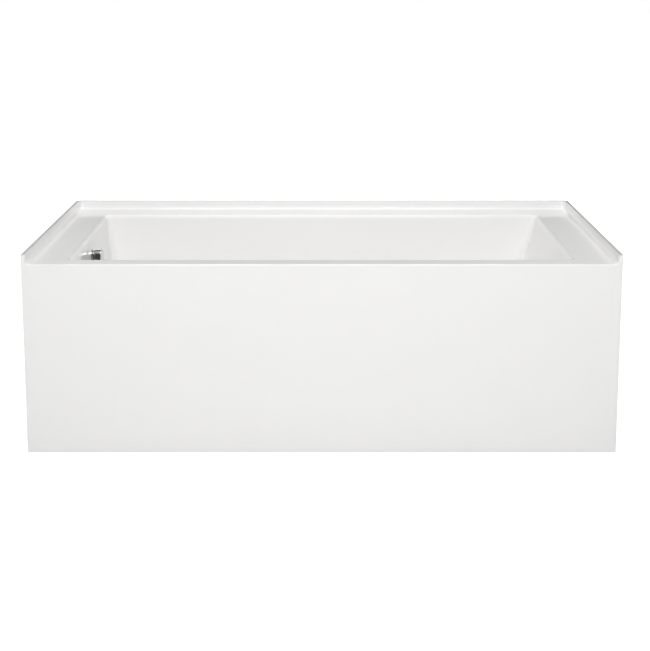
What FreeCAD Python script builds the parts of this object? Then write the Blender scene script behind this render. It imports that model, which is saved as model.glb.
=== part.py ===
import FreeCAD, Part
import math
import os

# Alcove bathtub: a white acrylic tub with a skirt, for a recess with walls on three sides.
# Millimetres. X runs along the tub, drain end at -X; the skirt faces -Y; Z = 0 is the room's floor.

# Tub outline
tub_length = 1524.0
tub_width = 812.8
rim_height = 498.0
floor_height = 112.0          # top of the basin floor beside the drain
sheet = 5.0                   # acrylic sheet
laminate = 4.0                # glass-fibre backing
bond = 0.3                    # resin line between sheet and backing

# Tile flange, on both ends and the back
flange_height = 25.4
flange_thickness = 10.0
flange_corner_radius = 14.0
flange_cove = 12.0
flange_top_radius = 1.5

# Front edge and skirt
front_edge_radius = 7.0
outer_edge_radius = 2.8
lip_height = 12.0
skirt_return = 40.0
skirt_foot_return = 25.0

# Basin
drain_deck = 113.0            # deck widths around the opening
backrest_deck = 116.0
front_deck = 65.0
back_deck = 118.8
drain_wall_tilt = 5.25        # degrees from upright
backrest_tilt = 14.5
side_wall_tilt = 5.0
top_corner_radius = 14.0
floor_corner_radius = 60.0
floor_fillet = 45.0
rim_roll = 12.0
floor_fall = 0.01             # rise per length, away from the drain

# Drain place and dish
drain_from_end = 250.0
dish_depth = 6.0
dish_radius = 44.0
dish_slope_width = 16.0
dish_edge_radius = 6.0
dish_foot_radius = 4.0

# Timber
board_thickness = 15.0
board_inset = 55.0            # from the foot of the basin walls
waste_notch_gap = 3.0         # round the backed dish
runner_width = 38.0
runner_offset = 150.0         # from the basin's centre line
runner_end_inset = 6.0
pad_size = 60.0
pad_height = 8.0
pad_end_inset = 70.0
batten_width = 38.0
batten_thickness = 18.0
batten_gap = 2.0
batten_end_gap = 0.5
rail_height = 38.0
rib_thickness = 12.0
rib_pitch = 300.0
rib_count = 5
brace_width = 38.0
brace_pitch = 470.0
brace_count = 3

# Overflow
overflow_drop = 72.0          # knob axis below the rim
overflow_hole_radius = 28.5
escutcheon_radius = 33.0
escutcheon_stand = 7.0        # front face to the wall, on the axis
escutcheon_hub_length = 14.0
escutcheon_edge_radius = 1.75
escutcheon_hub_wall = 4.0
window_span = 110.0           # degrees
window_rim = 7.5
screw_offset = 23.0
screw_radius = 2.0
screw_head_radius = 4.5
screw_head_height = 2.6
screw_length = 42.0
screw_slot_width = 1.0
screw_slot_depth = 1.3
gasket_radius = 41.0
gasket_thin = 2.0
head_flange_radius = 42.0
head_flange_thickness = 5.0
chamber_radius = 31.0
chamber_wall = 4.0
chamber_depth = 48.0
head_socket_drop = 60.0
boss_radius = 5.0
boss_length = 20.0

# Knob and crank
knob_radius = 35.0
knob_length = 17.0
knob_wall = 3.5
knob_gap = 2.0
knob_front_radius = 3.0
knob_back_radius = 1.0
knob_hub_radius = 9.5
spindle_radius = 4.0
spindle_grip = 10.0           # spindle inside the knob's hub
running = 0.06                # radial clearance of turning and sliding fits
snug = 0.03                   # radial clearance of fixed fits
seal_width = 2.6
seal_section = 2.4
bearing_radius = 8.5
bearing_length = 17.5
crank_disc_radius = 11.0
crank_disc_thickness = 4.0
crank_radius = 7.0
crank_pin_radius = 2.0
knob_travel = 90.0            # degrees, from stopper closed to open
axial_play = 0.4
set_screw_radius = 2.0
set_screw_length = 5.0

# Yoke and its pocket
yoke_half_width = 16.0
yoke_half_height = 6.0
yoke_thickness = 6.0
slot_clearance = 0.35
guide_clearance = 0.3
pocket_wall = 3.0
pocket_end_room = 6.0
cover_thickness = 3.0

# Pipes: inch-and-a-half tubular waste
pipe_radius = 19.05
pipe_wall = 1.6
pipe_fit = 0.15
pipe_from_head_face = 27.5
socket_radius = 23.5
socket_depth = 24.0
washer_depth = 5.0
nut_length = 17.0
nut_overlap = 13.0
nut_lip_gap = 0.6
nut_radius = 29.0
nut_across_flats = 54.0
tee_run = 45.0
tee_drop = 32.0
tee_shoulder = 1.5            # between the side bore and the tail's thread
tail_collar_height = 7.0
tail_collar_radius = 24.5
tail_thread_radius = 21.0
tail_floor_gap = 2.0

# Drain fitting
drain_hole_radius = 25.2
drain_barrel_radius = 23.5
drain_throat_radius = 19.5
drain_flange_radius = 35.0
drain_flange_edge = 1.5
drain_flange_height = 3.1
drain_barrel_length = 24.0
seat_inner_radius = 22.5
seat_drop = 1.6
seat_bevel = 3.5
putty_thickness = 1.5
shoe_gasket_thickness = 3.0
shoe_flange_radius = 34.0
shoe_flange_thickness = 5.0
shoe_radius = 28.0
shoe_wall = 4.0
shoe_run = 55.0
shoe_socket_gap = 1.2
shoe_boss_radius = 7.0
shoe_boss_height = 16.0
shoe_boss_drop = 3.0
spider_hub_radius = 5.5
spider_hub_height = 8.0
spider_arm_width = 3.0
spider_arm_height = 4.0

# Stopper
cap_radius = 31.0
cap_edge = 2.0
cap_crown = 4.0
cap_boss_radius = 5.5
cap_boss_length = 11.0
seal_inner_radius = 24.0
seal_outer_radius = 29.0
seal_height = 3.4
seal_gap = 0.3
lift_pin_radius = 2.0

# Cable
sheath_radius = 2.5
core_radius = 1.0
core_clearance = 0.3
core_rest_depth = 4.0
gland_radius = 6.0
gland_length = 10.0
sheath_seat = 5.5
sheath_floor_height = 11.0
sheath_side_step = 42.0
sheath_bend = 28.0
sheath_straight = 110.0       # below the head's pipe socket
clip_drop = 22.0
clip_height = 8.0
clip_wall = 2.0

Vector = FreeCAD.Vector
x_axis = Vector(1, 0, 0)
z_axis = Vector(0, 0, 1)

# Places that several pieces share
half_length = tub_length / 2
half_width = tub_width / 2
basin_x0 = drain_deck - half_length
basin_x1 = half_length - backrest_deck
basin_y0 = front_deck - half_width
basin_y1 = half_width - back_deck
basin_y = (basin_y0 + basin_y1) / 2
basin_depth = rim_height - floor_height
backed = sheet + bond + laminate
drain_x = drain_from_end - half_length
dish_z = floor_height - dish_depth
deck_underside = rim_height - backed
overflow_z = rim_height - overflow_drop


def run_in(tilt, drop):
    """How far a wall tilted by so many degrees moves inwards over a drop."""
    return drop * math.tan(math.radians(tilt))


def thickness_across(tilt, offset):
    """Level thickness of a tilted wall that is offset thick square to its face."""
    return offset / math.cos(math.radians(tilt))


def drain_wall_x(z, offset=0.0):
    """The drain-end wall's face at a height, moved outwards by offset."""
    inwards = run_in(drain_wall_tilt, rim_height - z)
    return basin_x0 + inwards - thickness_across(drain_wall_tilt, offset)


def floor_z(x, offset=0.0):
    """The sloping basin floor's height, moved downwards by offset."""
    slope = math.degrees(math.atan(floor_fall))
    return floor_height + floor_fall * (x - drain_x) - thickness_across(slope, offset)


wall_x = drain_wall_x(overflow_z)
head_face_x = drain_wall_x(overflow_z + gasket_radius, backed) - gasket_thin
pipe_x = head_face_x - pipe_from_head_face
chamber_back_x = head_face_x - chamber_depth
pocket_x = chamber_back_x - chamber_wall
crank_face_x = pocket_x - axial_play
crank_back_x = crank_face_x - crank_disc_thickness
yoke_x1 = crank_back_x - axial_play
yoke_x0 = yoke_x1 - yoke_thickness
cover_x = yoke_x0 - 2 * axial_play
sheath_x = (yoke_x0 + yoke_x1) / 2
escutcheon_x = wall_x + escutcheon_stand
knob_back_x = escutcheon_x + knob_gap
knob_front_x = knob_back_x + knob_length
spindle_front_x = escutcheon_x + axial_play + spindle_grip

stopper_lift = 2 * crank_radius * math.sin(math.radians(knob_travel / 2))
crank_rest_z = overflow_z + stopper_lift / 2
crank_rest_y = basin_y - crank_radius * math.cos(math.radians(knob_travel / 2))
pocket_top_z = overflow_z + stopper_lift / 2 + yoke_half_height + pocket_end_room
pocket_low_z = overflow_z - stopper_lift / 2 - yoke_half_height - pocket_end_room
pocket_half_width = yoke_half_width + guide_clearance

drain_underside = dish_z - backed
shoe_top_z = drain_underside - shoe_gasket_thickness
shoe_flange_z = shoe_top_z - shoe_flange_thickness
outlet_z = shoe_flange_z - socket_radius - shoe_socket_gap
pipe_bore = pipe_radius - pipe_wall
shoe_floor_z = outlet_z - pipe_bore
shoe_low_z = shoe_floor_z - shoe_wall
shoe_boss_low_z = shoe_low_z - shoe_boss_drop
sheath_end_z = shoe_boss_low_z + sheath_seat
seat_z = dish_z + putty_thickness
flange_top_z = seat_z + drain_flange_height
cap_under_z = flange_top_z - seat_drop / 2 + seal_gap + seal_height

board_x0 = basin_x0 + run_in(drain_wall_tilt, basin_depth) + board_inset
board_x1 = basin_x1 - run_in(backrest_tilt, basin_depth) - board_inset
board_y0 = basin_y0 + run_in(side_wall_tilt, basin_depth) + board_inset
board_y1 = basin_y1 - run_in(side_wall_tilt, basin_depth) - board_inset
frame_front_y = sheet + laminate - half_width
frame_back_y = frame_front_y + batten_width


def box(x0, x1, y0, y1, z0, z1):
    """Block between two corners."""
    return Part.makeBox(x1 - x0, y1 - y0, z1 - z0, Vector(x0, y0, z0))


def rod(radius, start, end):
    """Round bar between two points."""
    along = end.sub(start)
    return Part.makeCylinder(radius, along.Length, start, along)


def tube(outer, inner, start, end):
    """Round bar with a bore."""
    return rod(outer, start, end).cut(rod(inner, start, end))


def drain_point(z):
    """Point on the drain's axis."""
    return Vector(drain_x, basin_y, z)


def overflow_point(x):
    """Point on the knob's axis."""
    return Vector(x, basin_y, overflow_z)


def riser_point(z):
    """Point on the overflow pipe's axis."""
    return Vector(pipe_x, basin_y, z)


def side_profile(points, y0, y1):
    """Prism with its corners given as (x, z), from y0 to y1."""
    corners = [Vector(x, y0, z) for x, z in points]
    outline = Part.makePolygon(corners + corners[:1])
    return Part.Face(outline).extrude(Vector(0, y1 - y0, 0))


def turned(points, centre):
    """Solid of revolution about the drain's axis, with its corners given as (radius, z)."""
    corners = [Vector(centre.x + radius, centre.y, z) for radius, z in points]
    outline = Part.makePolygon(corners + corners[:1])
    return Part.Face(outline).revolve(centre, z_axis, 360)


def joined(shapes):
    """One solid from shapes that touch or overlap."""
    whole = shapes[0].fuse(shapes[1:])
    return whole.removeSplitter()


def rounded(shape, radius, wanted):
    """Shape with a fillet on every edge whose ends and middle all pass the test."""
    edges = []
    for edge in shape.Edges:
        middle = edge.valueAt((edge.FirstParameter + edge.LastParameter) / 2)
        points = [vertex.Point for vertex in edge.Vertexes] + [middle]
        if all(wanted(point) for point in points):
            edges.append(edge)
    return shape.makeFillet(radius, edges)


def near(a, b):
    return abs(a - b) < 0.001


def rounded_rectangle(x0, x1, y0, y1, radius, z):
    """Level outline with quarter-circle corners."""
    diagonal = radius * (1 - math.sqrt(0.5))
    edges = []
    sides = [(x0, y0, 1, 1), (x1, y0, -1, 1), (x1, y1, -1, -1), (x0, y1, 1, -1)]
    joints = []
    for x, y, to_x, to_y in sides:
        along_x = Vector(x + to_x * radius, y, z)
        along_y = Vector(x, y + to_y * radius, z)
        middle = Vector(x + to_x * diagonal, y + to_y * diagonal, z)
        anticlockwise = to_x == to_y
        first = along_y if anticlockwise else along_x
        last = along_x if anticlockwise else along_y
        joints.append((first, middle, last))
    for here, after in zip(joints, joints[1:] + joints[:1]):
        edges.append(Part.Arc(*here).toShape())
        edges.append(Part.LineSegment(here[2], after[0]).toShape())
    return Part.Wire(edges)


def basin_outline(z, offset):
    """The basin's level section at a height, grown by offset square to each wall."""
    drop = rim_height - z
    side = run_in(side_wall_tilt, drop) - thickness_across(side_wall_tilt, offset)
    end = run_in(backrest_tilt, drop) - thickness_across(backrest_tilt, offset)
    growth = (floor_corner_radius - top_corner_radius) / basin_depth
    radius = top_corner_radius + growth * drop + offset
    x0 = drain_wall_x(z, offset)
    return rounded_rectangle(x0, basin_x1 - end, basin_y0 + side, basin_y1 - side, radius, z)


def basin_form(offset):
    """The room inside the basin, grown by offset: tapered walls on a sloping floor, with a dish."""
    above = rim_height + flange_height + sheet
    below = floor_height - dish_depth - offset - floor_fillet
    tray = Part.makeLoft([basin_outline(above, offset), basin_outline(below, offset)], True, True)
    ends = (-half_length, half_length)
    cut_off = [(ends[0], floor_z(ends[0], offset)), (ends[1], floor_z(ends[1], offset))]
    cut_off += [(ends[1], below - sheet), (ends[0], below - sheet)]
    tray = tray.cut(side_profile(cut_off, -half_width, half_width))
    tray = rounded(tray, floor_fillet + offset, lambda p: near(p.z, floor_z(p.x, offset)))
    low = dish_radius + offset
    high = dish_radius + dish_slope_width + offset
    rise = dish_depth + dish_depth * sheet / dish_slope_width
    widest = low + (high - low) * rise / dish_depth
    dish = Part.makeCone(low, widest, rise, drain_point(dish_z - offset), z_axis)
    dish = rounded(dish, dish_foot_radius + offset, lambda p: near(p.z, dish_z - offset))
    form = tray.fuse(dish)
    edge_radius = dish_edge_radius - offset
    if edge_radius > 0:
        form = rounded(form, edge_radius, lambda p: near(p.z, floor_z(p.x, offset)) and by_drain(p, widest))
    return form


def by_drain(point, radius):
    """Whether a point lies within a radius of the drain's axis."""
    return math.hypot(point.x - drain_x, point.y - basin_y) < radius


def overflow_hole():
    return rod(overflow_hole_radius, overflow_point(head_face_x), overflow_point(knob_front_x))


def drain_hole():
    return rod(drain_hole_radius, drain_point(0), drain_point(floor_height))


def deck_with_flange():
    """Deck sheet with the raised tile flange on both ends and the back, and its cove."""
    top = rim_height + flange_height
    block = box(-half_length, half_length, -half_width, half_width, rim_height - sheet, top)
    block = rounded(block, flange_corner_radius,
                    lambda p: near(abs(p.x), half_length) and near(p.y, half_width))
    inner_x = half_length - flange_thickness
    inner_y = half_width - flange_thickness
    beyond = half_width + flange_cove
    room = box(-inner_x, inner_x, -beyond, inner_y, rim_height, top + sheet)
    room = rounded(room, flange_corner_radius, lambda p: near(abs(p.x), inner_x) and near(p.y, inner_y))
    room = rounded(room, flange_cove, lambda p: near(p.z, rim_height) and not is_front_end(p, inner_x))
    return block.cut(room)


def is_front_end(point, inner_x):
    """Whether a point of the room over the deck is on its open front end, away from the cove."""
    return point.y < -half_width and abs(point.x) < inner_x - 0.001


def is_front_corner(point):
    return near(point.y, -half_width) and near(abs(point.x), half_length)


def front_lip():
    """The sheet's turned-down edge along the front and a short way round each corner."""
    low = rim_height - lip_height
    high = rim_height - sheet
    inside = half_length - sheet
    front = box(-half_length, half_length, -half_width, sheet - half_width, low, high)
    left = box(-half_length, -inside, -half_width, skirt_return - half_width, low, high)
    right = box(inside, half_length, -half_width, skirt_return - half_width, low, high)
    return [front, left, right]


def tub_shell():
    """Acrylic sheet: basin, deck, tile flange and front edge."""
    top = rim_height + flange_height
    inner_x = half_length - flange_thickness
    deck = joined([deck_with_flange()] + front_lip())
    deck = rounded(deck, front_edge_radius,
                   lambda p: near(p.y, -half_width) and p.z > rim_height - 1 and abs(p.x) < inner_x + 0.01)
    deck = rounded(deck, outer_edge_radius, is_front_corner)
    deck = rounded(deck, flange_top_radius, lambda p: near(p.z, top))
    below_deck = box(-half_length, half_length, -half_width, half_width, 0, rim_height - sheet / 2)
    outside = basin_form(sheet).common(below_deck)
    shell = joined([deck, outside]).cut(basin_form(0))
    shell = rounded(shell, rim_roll, lambda p: near(p.z, rim_height) and on_opening(p))
    return shell.cut(overflow_hole()).cut(drain_hole())


def on_opening(point):
    """Whether a point at deck height is on the basin's opening."""
    inside_x = basin_x0 - 1 < point.x < basin_x1 + 1
    inside_y = basin_y0 - 1 < point.y < basin_y1 + 1
    return inside_x and inside_y


def shell_laminate():
    """Glass-fibre layer under the deck and round the basin."""
    top = rim_height - sheet - bond
    side_x = half_length - sheet - bond
    plate = box(-side_x, side_x, sheet + bond - half_width, half_width - bond, deck_underside, top)
    below_deck = box(-half_length, half_length, -half_width, half_width, 0, top)
    outside = basin_form(backed).common(below_deck)
    layer = joined([plate, outside]).cut(basin_form(sheet + bond))
    return layer.cut(overflow_hole()).cut(drain_hole())


def apron_panel():
    """Acrylic skirt: front face with returns at both sides and the foot."""
    top = rim_height - lip_height
    inside = half_length - sheet
    front = box(-half_length, half_length, -half_width, sheet - half_width, 0, top)
    left = box(-half_length, -inside, -half_width, skirt_return - half_width, 0, top)
    right = box(inside, half_length, -half_width, skirt_return - half_width, 0, top)
    foot = box(-half_length, half_length, -half_width, skirt_foot_return - half_width, 0, sheet)
    panel = joined([front, left, right, foot])
    return rounded(panel, outer_edge_radius, is_front_corner)


def apron_laminate():
    """Glass-fibre layer on the back of the skirt."""
    end = half_length - sheet - bond
    return box(-end, end, sheet - half_width, frame_front_y, sheet, deck_underside - bond)


def base_board():
    """Plywood board under the basin floor, notched round the waste."""
    low = backed + board_thickness
    corners = [(board_x0, floor_z(board_x0, backed)), (board_x1, floor_z(board_x1, backed))]
    corners += [(board_x1, floor_z(board_x1, low)), (board_x0, floor_z(board_x0, low))]
    board = side_profile(corners, board_y0, board_y1)
    notch_radius = dish_radius + dish_slope_width + backed + waste_notch_gap
    straight = box(board_x0 - 1, drain_x, basin_y - notch_radius, basin_y + notch_radius, 0, rim_height)
    round_end = rod(notch_radius, drain_point(0), drain_point(rim_height))
    return board.cut(straight).cut(round_end)


def runner_ys():
    return [basin_y - runner_offset, basin_y + runner_offset]


def base_runners():
    """Timber runners under the board, one each side of the waste."""
    x0 = board_x0 + runner_end_inset
    x1 = board_x1 - runner_end_inset
    under = backed + board_thickness
    corners = [(x0, pad_height), (x1, pad_height), (x1, floor_z(x1, under)), (x0, floor_z(x0, under))]
    return [side_profile(corners, y - runner_width / 2, y + runner_width / 2) for y in runner_ys()]


def foot_pads():
    """Pads that stand on the room's floor."""
    pads = []
    reach = pad_size / 2
    for y in runner_ys():
        for x in (board_x0 + pad_end_inset, (board_x0 + board_x1) / 2, board_x1 - pad_end_inset):
            pads.append(box(x - reach, x + reach, y - reach, y + reach, 0, pad_height))
    return pads


def apron_bottom_rail():
    end = half_length - sheet - batten_gap
    return box(-end, end, frame_front_y, frame_back_y, sheet, sheet + rail_height)


def apron_ribs():
    """Upright plywood ribs between the bottom rail and the front batten."""
    ribs = []
    top = deck_underside - batten_thickness
    for number in range(rib_count):
        x = (number - (rib_count - 1) / 2) * rib_pitch
        ribs.append(box(x - rib_thickness / 2, x + rib_thickness / 2, frame_front_y, frame_back_y,
                        sheet + rail_height, top))
    return ribs


def apron_braces():
    """Timber pieces that hold the bottom rail to the front runner."""
    braces = []
    back = basin_y - runner_offset - runner_width / 2
    for number in range(brace_count):
        x = (board_x0 + board_x1) / 2 + (number - (brace_count - 1) / 2) * brace_pitch
        braces.append(box(x - brace_width / 2, x + brace_width / 2, frame_back_y, back,
                          pad_height, sheet + rail_height))
    return braces


def batten(x0, x1, y0, y1):
    return box(x0, x1, y0, y1, deck_underside - batten_thickness, deck_underside)


def deck_battens():
    """Timber battens under the four sides of the deck, by node name."""
    end = half_length - sheet - batten_gap
    back_y1 = half_width - sheet - batten_gap
    back_y0 = back_y1 - batten_width
    side_y0 = frame_back_y + batten_end_gap
    side_y1 = back_y0 - batten_end_gap
    front = batten(-end, end, frame_front_y, frame_back_y)
    back = batten(-end, end, back_y0, back_y1)
    left = batten(-end, batten_width - end, side_y0, side_y1)
    right = batten(end - batten_width, end, side_y0, side_y1)
    ends = {"drain_end_batten": left, "backrest_end_batten": right}
    return {"front_batten": front, "back_batten": back, **ends}


def right_of_wall(offset):
    """Everything on the basin side of the drain-end wall's face."""
    low = overflow_z - head_flange_radius - gasket_radius
    points = [(drain_wall_x(low, offset), low), (0, low)]
    points += [(0, rim_height), (drain_wall_x(rim_height, offset), rim_height)]
    return side_profile(points, -half_width, half_width)


def overflow_gasket():
    """Wedge-shaped ring between the backed wall and the overflow head."""
    ring = tube(gasket_radius, overflow_hole_radius, overflow_point(head_face_x), overflow_point(wall_x))
    return ring.cut(right_of_wall(backed))


def side_points(x):
    """The two screws' centres in the plane at x."""
    return [Vector(x, basin_y + side * screw_offset, overflow_z) for side in (-1, 1)]


def water_window(side):
    """Part of a ring above (side 1) or below (side -1) the spindle, through the escutcheon."""
    back_x = escutcheon_x - escutcheon_radius
    reach = side * escutcheon_radius
    spread = escutcheon_radius * math.tan(math.radians(window_span / 2))
    corners = [overflow_point(back_x)]
    corners.append(Vector(back_x, basin_y - spread, overflow_z + reach))
    corners.append(Vector(back_x, basin_y + spread, overflow_z + reach))
    wedge = Part.Face(Part.makePolygon(corners + corners[:1])).extrude(x_axis * 2 * escutcheon_radius)
    inner = bearing_radius + escutcheon_hub_wall
    outer = escutcheon_radius - window_rim
    return tube(outer, inner, overflow_point(back_x), overflow_point(knob_back_x)).common(wedge)


def overflow_escutcheon():
    """Chrome plate that clamps the wall, with water windows and the spindle's bearing."""
    back_x = drain_wall_x(overflow_z + escutcheon_radius) - 1
    plate = rod(escutcheon_radius, overflow_point(back_x), overflow_point(escutcheon_x))
    plate = plate.common(right_of_wall(0))
    plate = rounded(plate, escutcheon_edge_radius, lambda p: near(p.x, escutcheon_x))
    plate = plate.cut(water_window(1)).cut(water_window(-1))
    hub_back = overflow_point(escutcheon_x - escutcheon_hub_length)
    hub = rod(bearing_radius + escutcheon_hub_wall, hub_back, overflow_point(escutcheon_x))
    plate = joined([plate, hub])
    plate = plate.cut(rod(spindle_radius + running, overflow_point(pipe_x), overflow_point(knob_back_x)))
    for point in side_points(escutcheon_x):
        shank_end = point - x_axis * escutcheon_radius
        plate = plate.cut(rod(screw_radius + pipe_fit, shank_end, point))
        sink = point - x_axis * screw_head_height
        plate = plate.cut(rod(screw_head_radius + pipe_fit, sink, point))
    return plate


def overflow_screws():
    screws = []
    for point in side_points(escutcheon_x):
        head_back = point - x_axis * screw_head_height
        tip = point - x_axis * screw_length
        screw = joined([rod(screw_head_radius, head_back, point), rod(screw_radius, tip, head_back)])
        across = screw_head_radius
        drive = box(point.x - screw_slot_depth, point.x, point.y - across, point.y + across,
                    point.z - screw_slot_width / 2, point.z + screw_slot_width / 2)
        screws.append(screw.cut(drive))
    return screws


def socket(mouth, outwards):
    """Fitting end that takes a pipe: its outside, and the hollow to cut from it."""
    inner_end = mouth - outwards * socket_depth
    outside = rod(socket_radius, inner_end, mouth)
    seat = rod(pipe_radius + pipe_fit, inner_end, mouth)
    flare = Part.makeCone(pipe_radius + pipe_fit, socket_radius - pipe_wall, washer_depth,
                          mouth - outwards * washer_depth, outwards)
    return outside, seat.fuse(flare)


def slip_washer(mouth, outwards):
    """Tapered washer squeezed between socket and pipe."""
    start = mouth - outwards * (washer_depth - bond)
    length = washer_depth - bond + nut_lip_gap / 2
    slope = (socket_radius - pipe_wall - pipe_radius - pipe_fit) / washer_depth
    small = pipe_radius + pipe_fit
    ring = Part.makeCone(small, small + slope * (washer_depth - bond), length, start, outwards)
    return ring.cut(rod(pipe_radius + snug, start, start + outwards * length))


def slip_nut(mouth, outwards):
    """Six-sided nut over the socket's end, with a lip round the pipe."""
    start = mouth - outwards * nut_overlap
    end = start + outwards * nut_length
    lip = mouth + outwards * nut_lip_gap
    blank = rod(nut_radius, start, end)
    across = nut_across_flats / 2
    for number in range(6):
        flat = box(across, 2 * across, -2 * across, 2 * across, 0, nut_length)
        flat.rotate(Vector(0, 0, 0), z_axis, 60 * number)
        to_nut = FreeCAD.Placement(start, FreeCAD.Rotation(z_axis, outwards))
        flat.Placement = to_nut.multiply(flat.Placement)
        blank = blank.cut(flat)
    blank = blank.cut(rod(socket_radius + pipe_fit, start, lip))
    return blank.cut(rod(pipe_radius + 2 * pipe_fit, start, end))


head_mouth = riser_point(overflow_z - head_socket_drop)
tee_top_mouth = riser_point(outlet_z + tee_run)
tee_side_mouth = Vector(pipe_x + tee_run, basin_y, outlet_z)
shoe_mouth = Vector(drain_x - shoe_run, basin_y, outlet_z)
slip_joints = [(head_mouth, -z_axis), (tee_top_mouth, z_axis)]
slip_joints += [(tee_side_mouth, x_axis), (shoe_mouth, -x_axis)]


def overflow_head():
    """Moulded body behind the wall: water chamber, pipe socket, and a dry pocket for the crank."""
    face = overflow_point(head_face_x)
    back = overflow_point(chamber_back_x)
    outer_back = overflow_point(pocket_x)
    flange = rod(head_flange_radius, face - x_axis * head_flange_thickness, face)
    body = rod(chamber_radius, outer_back, face)
    socket_outside, socket_hollow = socket(head_mouth, -z_axis)
    neck = rod(socket_radius, head_mouth, riser_point(overflow_z - spindle_radius))
    gland = rod(gland_radius, Vector(sheath_x, basin_y, pocket_low_z - gland_length),
                Vector(sheath_x, basin_y, pocket_low_z - pocket_wall))
    outer_y = pocket_half_width + pocket_wall
    pocket = box(cover_x, pocket_x, basin_y - outer_y, basin_y + outer_y,
                 pocket_low_z - pocket_wall, pocket_top_z + pocket_wall)
    head = joined([flange, body, socket_outside, neck, pocket, gland])
    head = head.cut(rod(chamber_radius - chamber_wall, back, face))
    head = head.cut(rod(pipe_bore, head_mouth, riser_point(overflow_z - spindle_radius)))
    head = head.cut(socket_hollow)
    head = head.cut(box(cover_x, pocket_x, basin_y - pocket_half_width, basin_y + pocket_half_width,
                        pocket_low_z, pocket_top_z))
    bearing_end = outer_back + x_axis * bearing_length
    additions = [rod(bearing_radius, outer_back, bearing_end)]
    for point in side_points(head_face_x):
        additions.append(rod(boss_radius, point - x_axis * boss_length, point))
    head = joined([head] + additions)
    head = head.cut(rod(spindle_radius + running, outer_back - x_axis, bearing_end))
    seal_seat = spindle_radius + running + seal_section + snug
    head = head.cut(rod(seal_seat, bearing_end - x_axis * (seal_width + snug), bearing_end))
    for point in side_points(head_face_x):
        head = head.cut(rod(screw_radius + snug, point - x_axis * boss_length, point))
    low = Vector(sheath_x, basin_y, pocket_low_z - gland_length)
    high = Vector(sheath_x, basin_y, pocket_low_z)
    return head.cut(rod(sheath_radius + snug, low, high))


def head_cover():
    """Plate that closes the crank's pocket."""
    outer_y = pocket_half_width + pocket_wall
    plate = box(cover_x - cover_thickness, cover_x, basin_y - outer_y, basin_y + outer_y,
                pocket_low_z - pocket_wall, pocket_top_z + pocket_wall)
    return rounded(plate, cover_thickness / 2, lambda p: near(p.x, cover_x - cover_thickness))


def spindle_seal():
    """Rubber ring that keeps water out of the crank's pocket."""
    start = overflow_point(pocket_x + bearing_length - seal_width)
    end = overflow_point(pocket_x + bearing_length)
    inner = spindle_radius + running
    return tube(inner + seal_section, inner, start, end)


def overflow_knob():
    """Chrome knob: a shallow cup with a hub on the spindle."""
    back = overflow_point(knob_back_x)
    front = overflow_point(knob_front_x)
    knob = rod(knob_radius, back, front)
    knob = rounded(knob, knob_front_radius, lambda p: near(p.x, knob_front_x))
    knob = rounded(knob, knob_back_radius, lambda p: near(p.x, knob_back_x))
    inside = overflow_point(knob_front_x - knob_wall)
    knob = knob.cut(rod(knob_radius - knob_wall, back, inside))
    hub = rod(knob_hub_radius, overflow_point(escutcheon_x + axial_play), inside)
    knob = joined([knob, hub])
    bore_end = overflow_point(spindle_front_x + axial_play)
    knob = knob.cut(rod(spindle_radius + snug, back - x_axis * knob_gap, bore_end))
    centre = overflow_point(set_screw_x())
    hub_side = centre - z_axis * knob_hub_radius
    hole = rod(set_screw_radius + snug, centre, hub_side)
    key_way = rod(set_screw_radius + guide_clearance, hub_side, centre - z_axis * 2 * knob_radius)
    return knob.cut(hole).cut(key_way)


def set_screw_x():
    return escutcheon_x + axial_play + spindle_grip / 2


def knob_set_screw():
    start = overflow_point(set_screw_x()) - z_axis * (spindle_radius + snug)
    screw = rod(set_screw_radius, start, start - z_axis * set_screw_length)
    socket_start = start - z_axis * (set_screw_length / 2)
    return screw.cut(rod(set_screw_radius / 2, socket_start, start - z_axis * set_screw_length))


def knob_spindle():
    """Brass spindle with a crank disc and pin at its back end."""
    shaft = rod(spindle_radius, overflow_point(crank_back_x), overflow_point(spindle_front_x))
    disc = rod(crank_disc_radius, overflow_point(crank_back_x), overflow_point(crank_face_x))
    pin_start = Vector(crank_back_x, crank_rest_y, crank_rest_z)
    pin_end = Vector(yoke_x0, crank_rest_y, crank_rest_z)
    return joined([shaft, disc, rod(crank_pin_radius, pin_start, pin_end)])


def cable_yoke():
    """Slide with a level slot for the crank pin, and the cable core's upper end."""
    body = box(yoke_x0, yoke_x1, basin_y - yoke_half_width, basin_y + yoke_half_width,
               crank_rest_z - yoke_half_height, crank_rest_z + yoke_half_height)
    room = crank_pin_radius + slot_clearance
    far_y = basin_y - crank_radius - slot_clearance
    near_y = crank_rest_y + slot_clearance
    slot = box(yoke_x0, yoke_x1, far_y, near_y, crank_rest_z - room, crank_rest_z + room)
    body = body.cut(slot)
    for y in (far_y, near_y):
        body = body.cut(rod(room, Vector(yoke_x0, y, crank_rest_z), Vector(yoke_x1, y, crank_rest_z)))
    core_top = Vector(sheath_x, basin_y, crank_rest_z - yoke_half_height)
    core_end = Vector(sheath_x, basin_y, pocket_low_z - core_rest_depth)
    return joined([body, rod(core_radius, core_end, core_top)])


def hollow_pipe(start, end):
    return tube(pipe_radius, pipe_bore, start, end)


def overflow_pipe():
    """Riser from the tee up to the overflow head."""
    low = tee_top_mouth - z_axis * (socket_depth - bond)
    high = head_mouth + z_axis * (socket_depth - bond)
    return hollow_pipe(low, high)


def shoe_pipe():
    """Level pipe from the drain shoe to the tee."""
    left = tee_side_mouth - x_axis * (socket_depth - bond)
    right = shoe_mouth + x_axis * (socket_depth - bond)
    return hollow_pipe(left, right)


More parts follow.
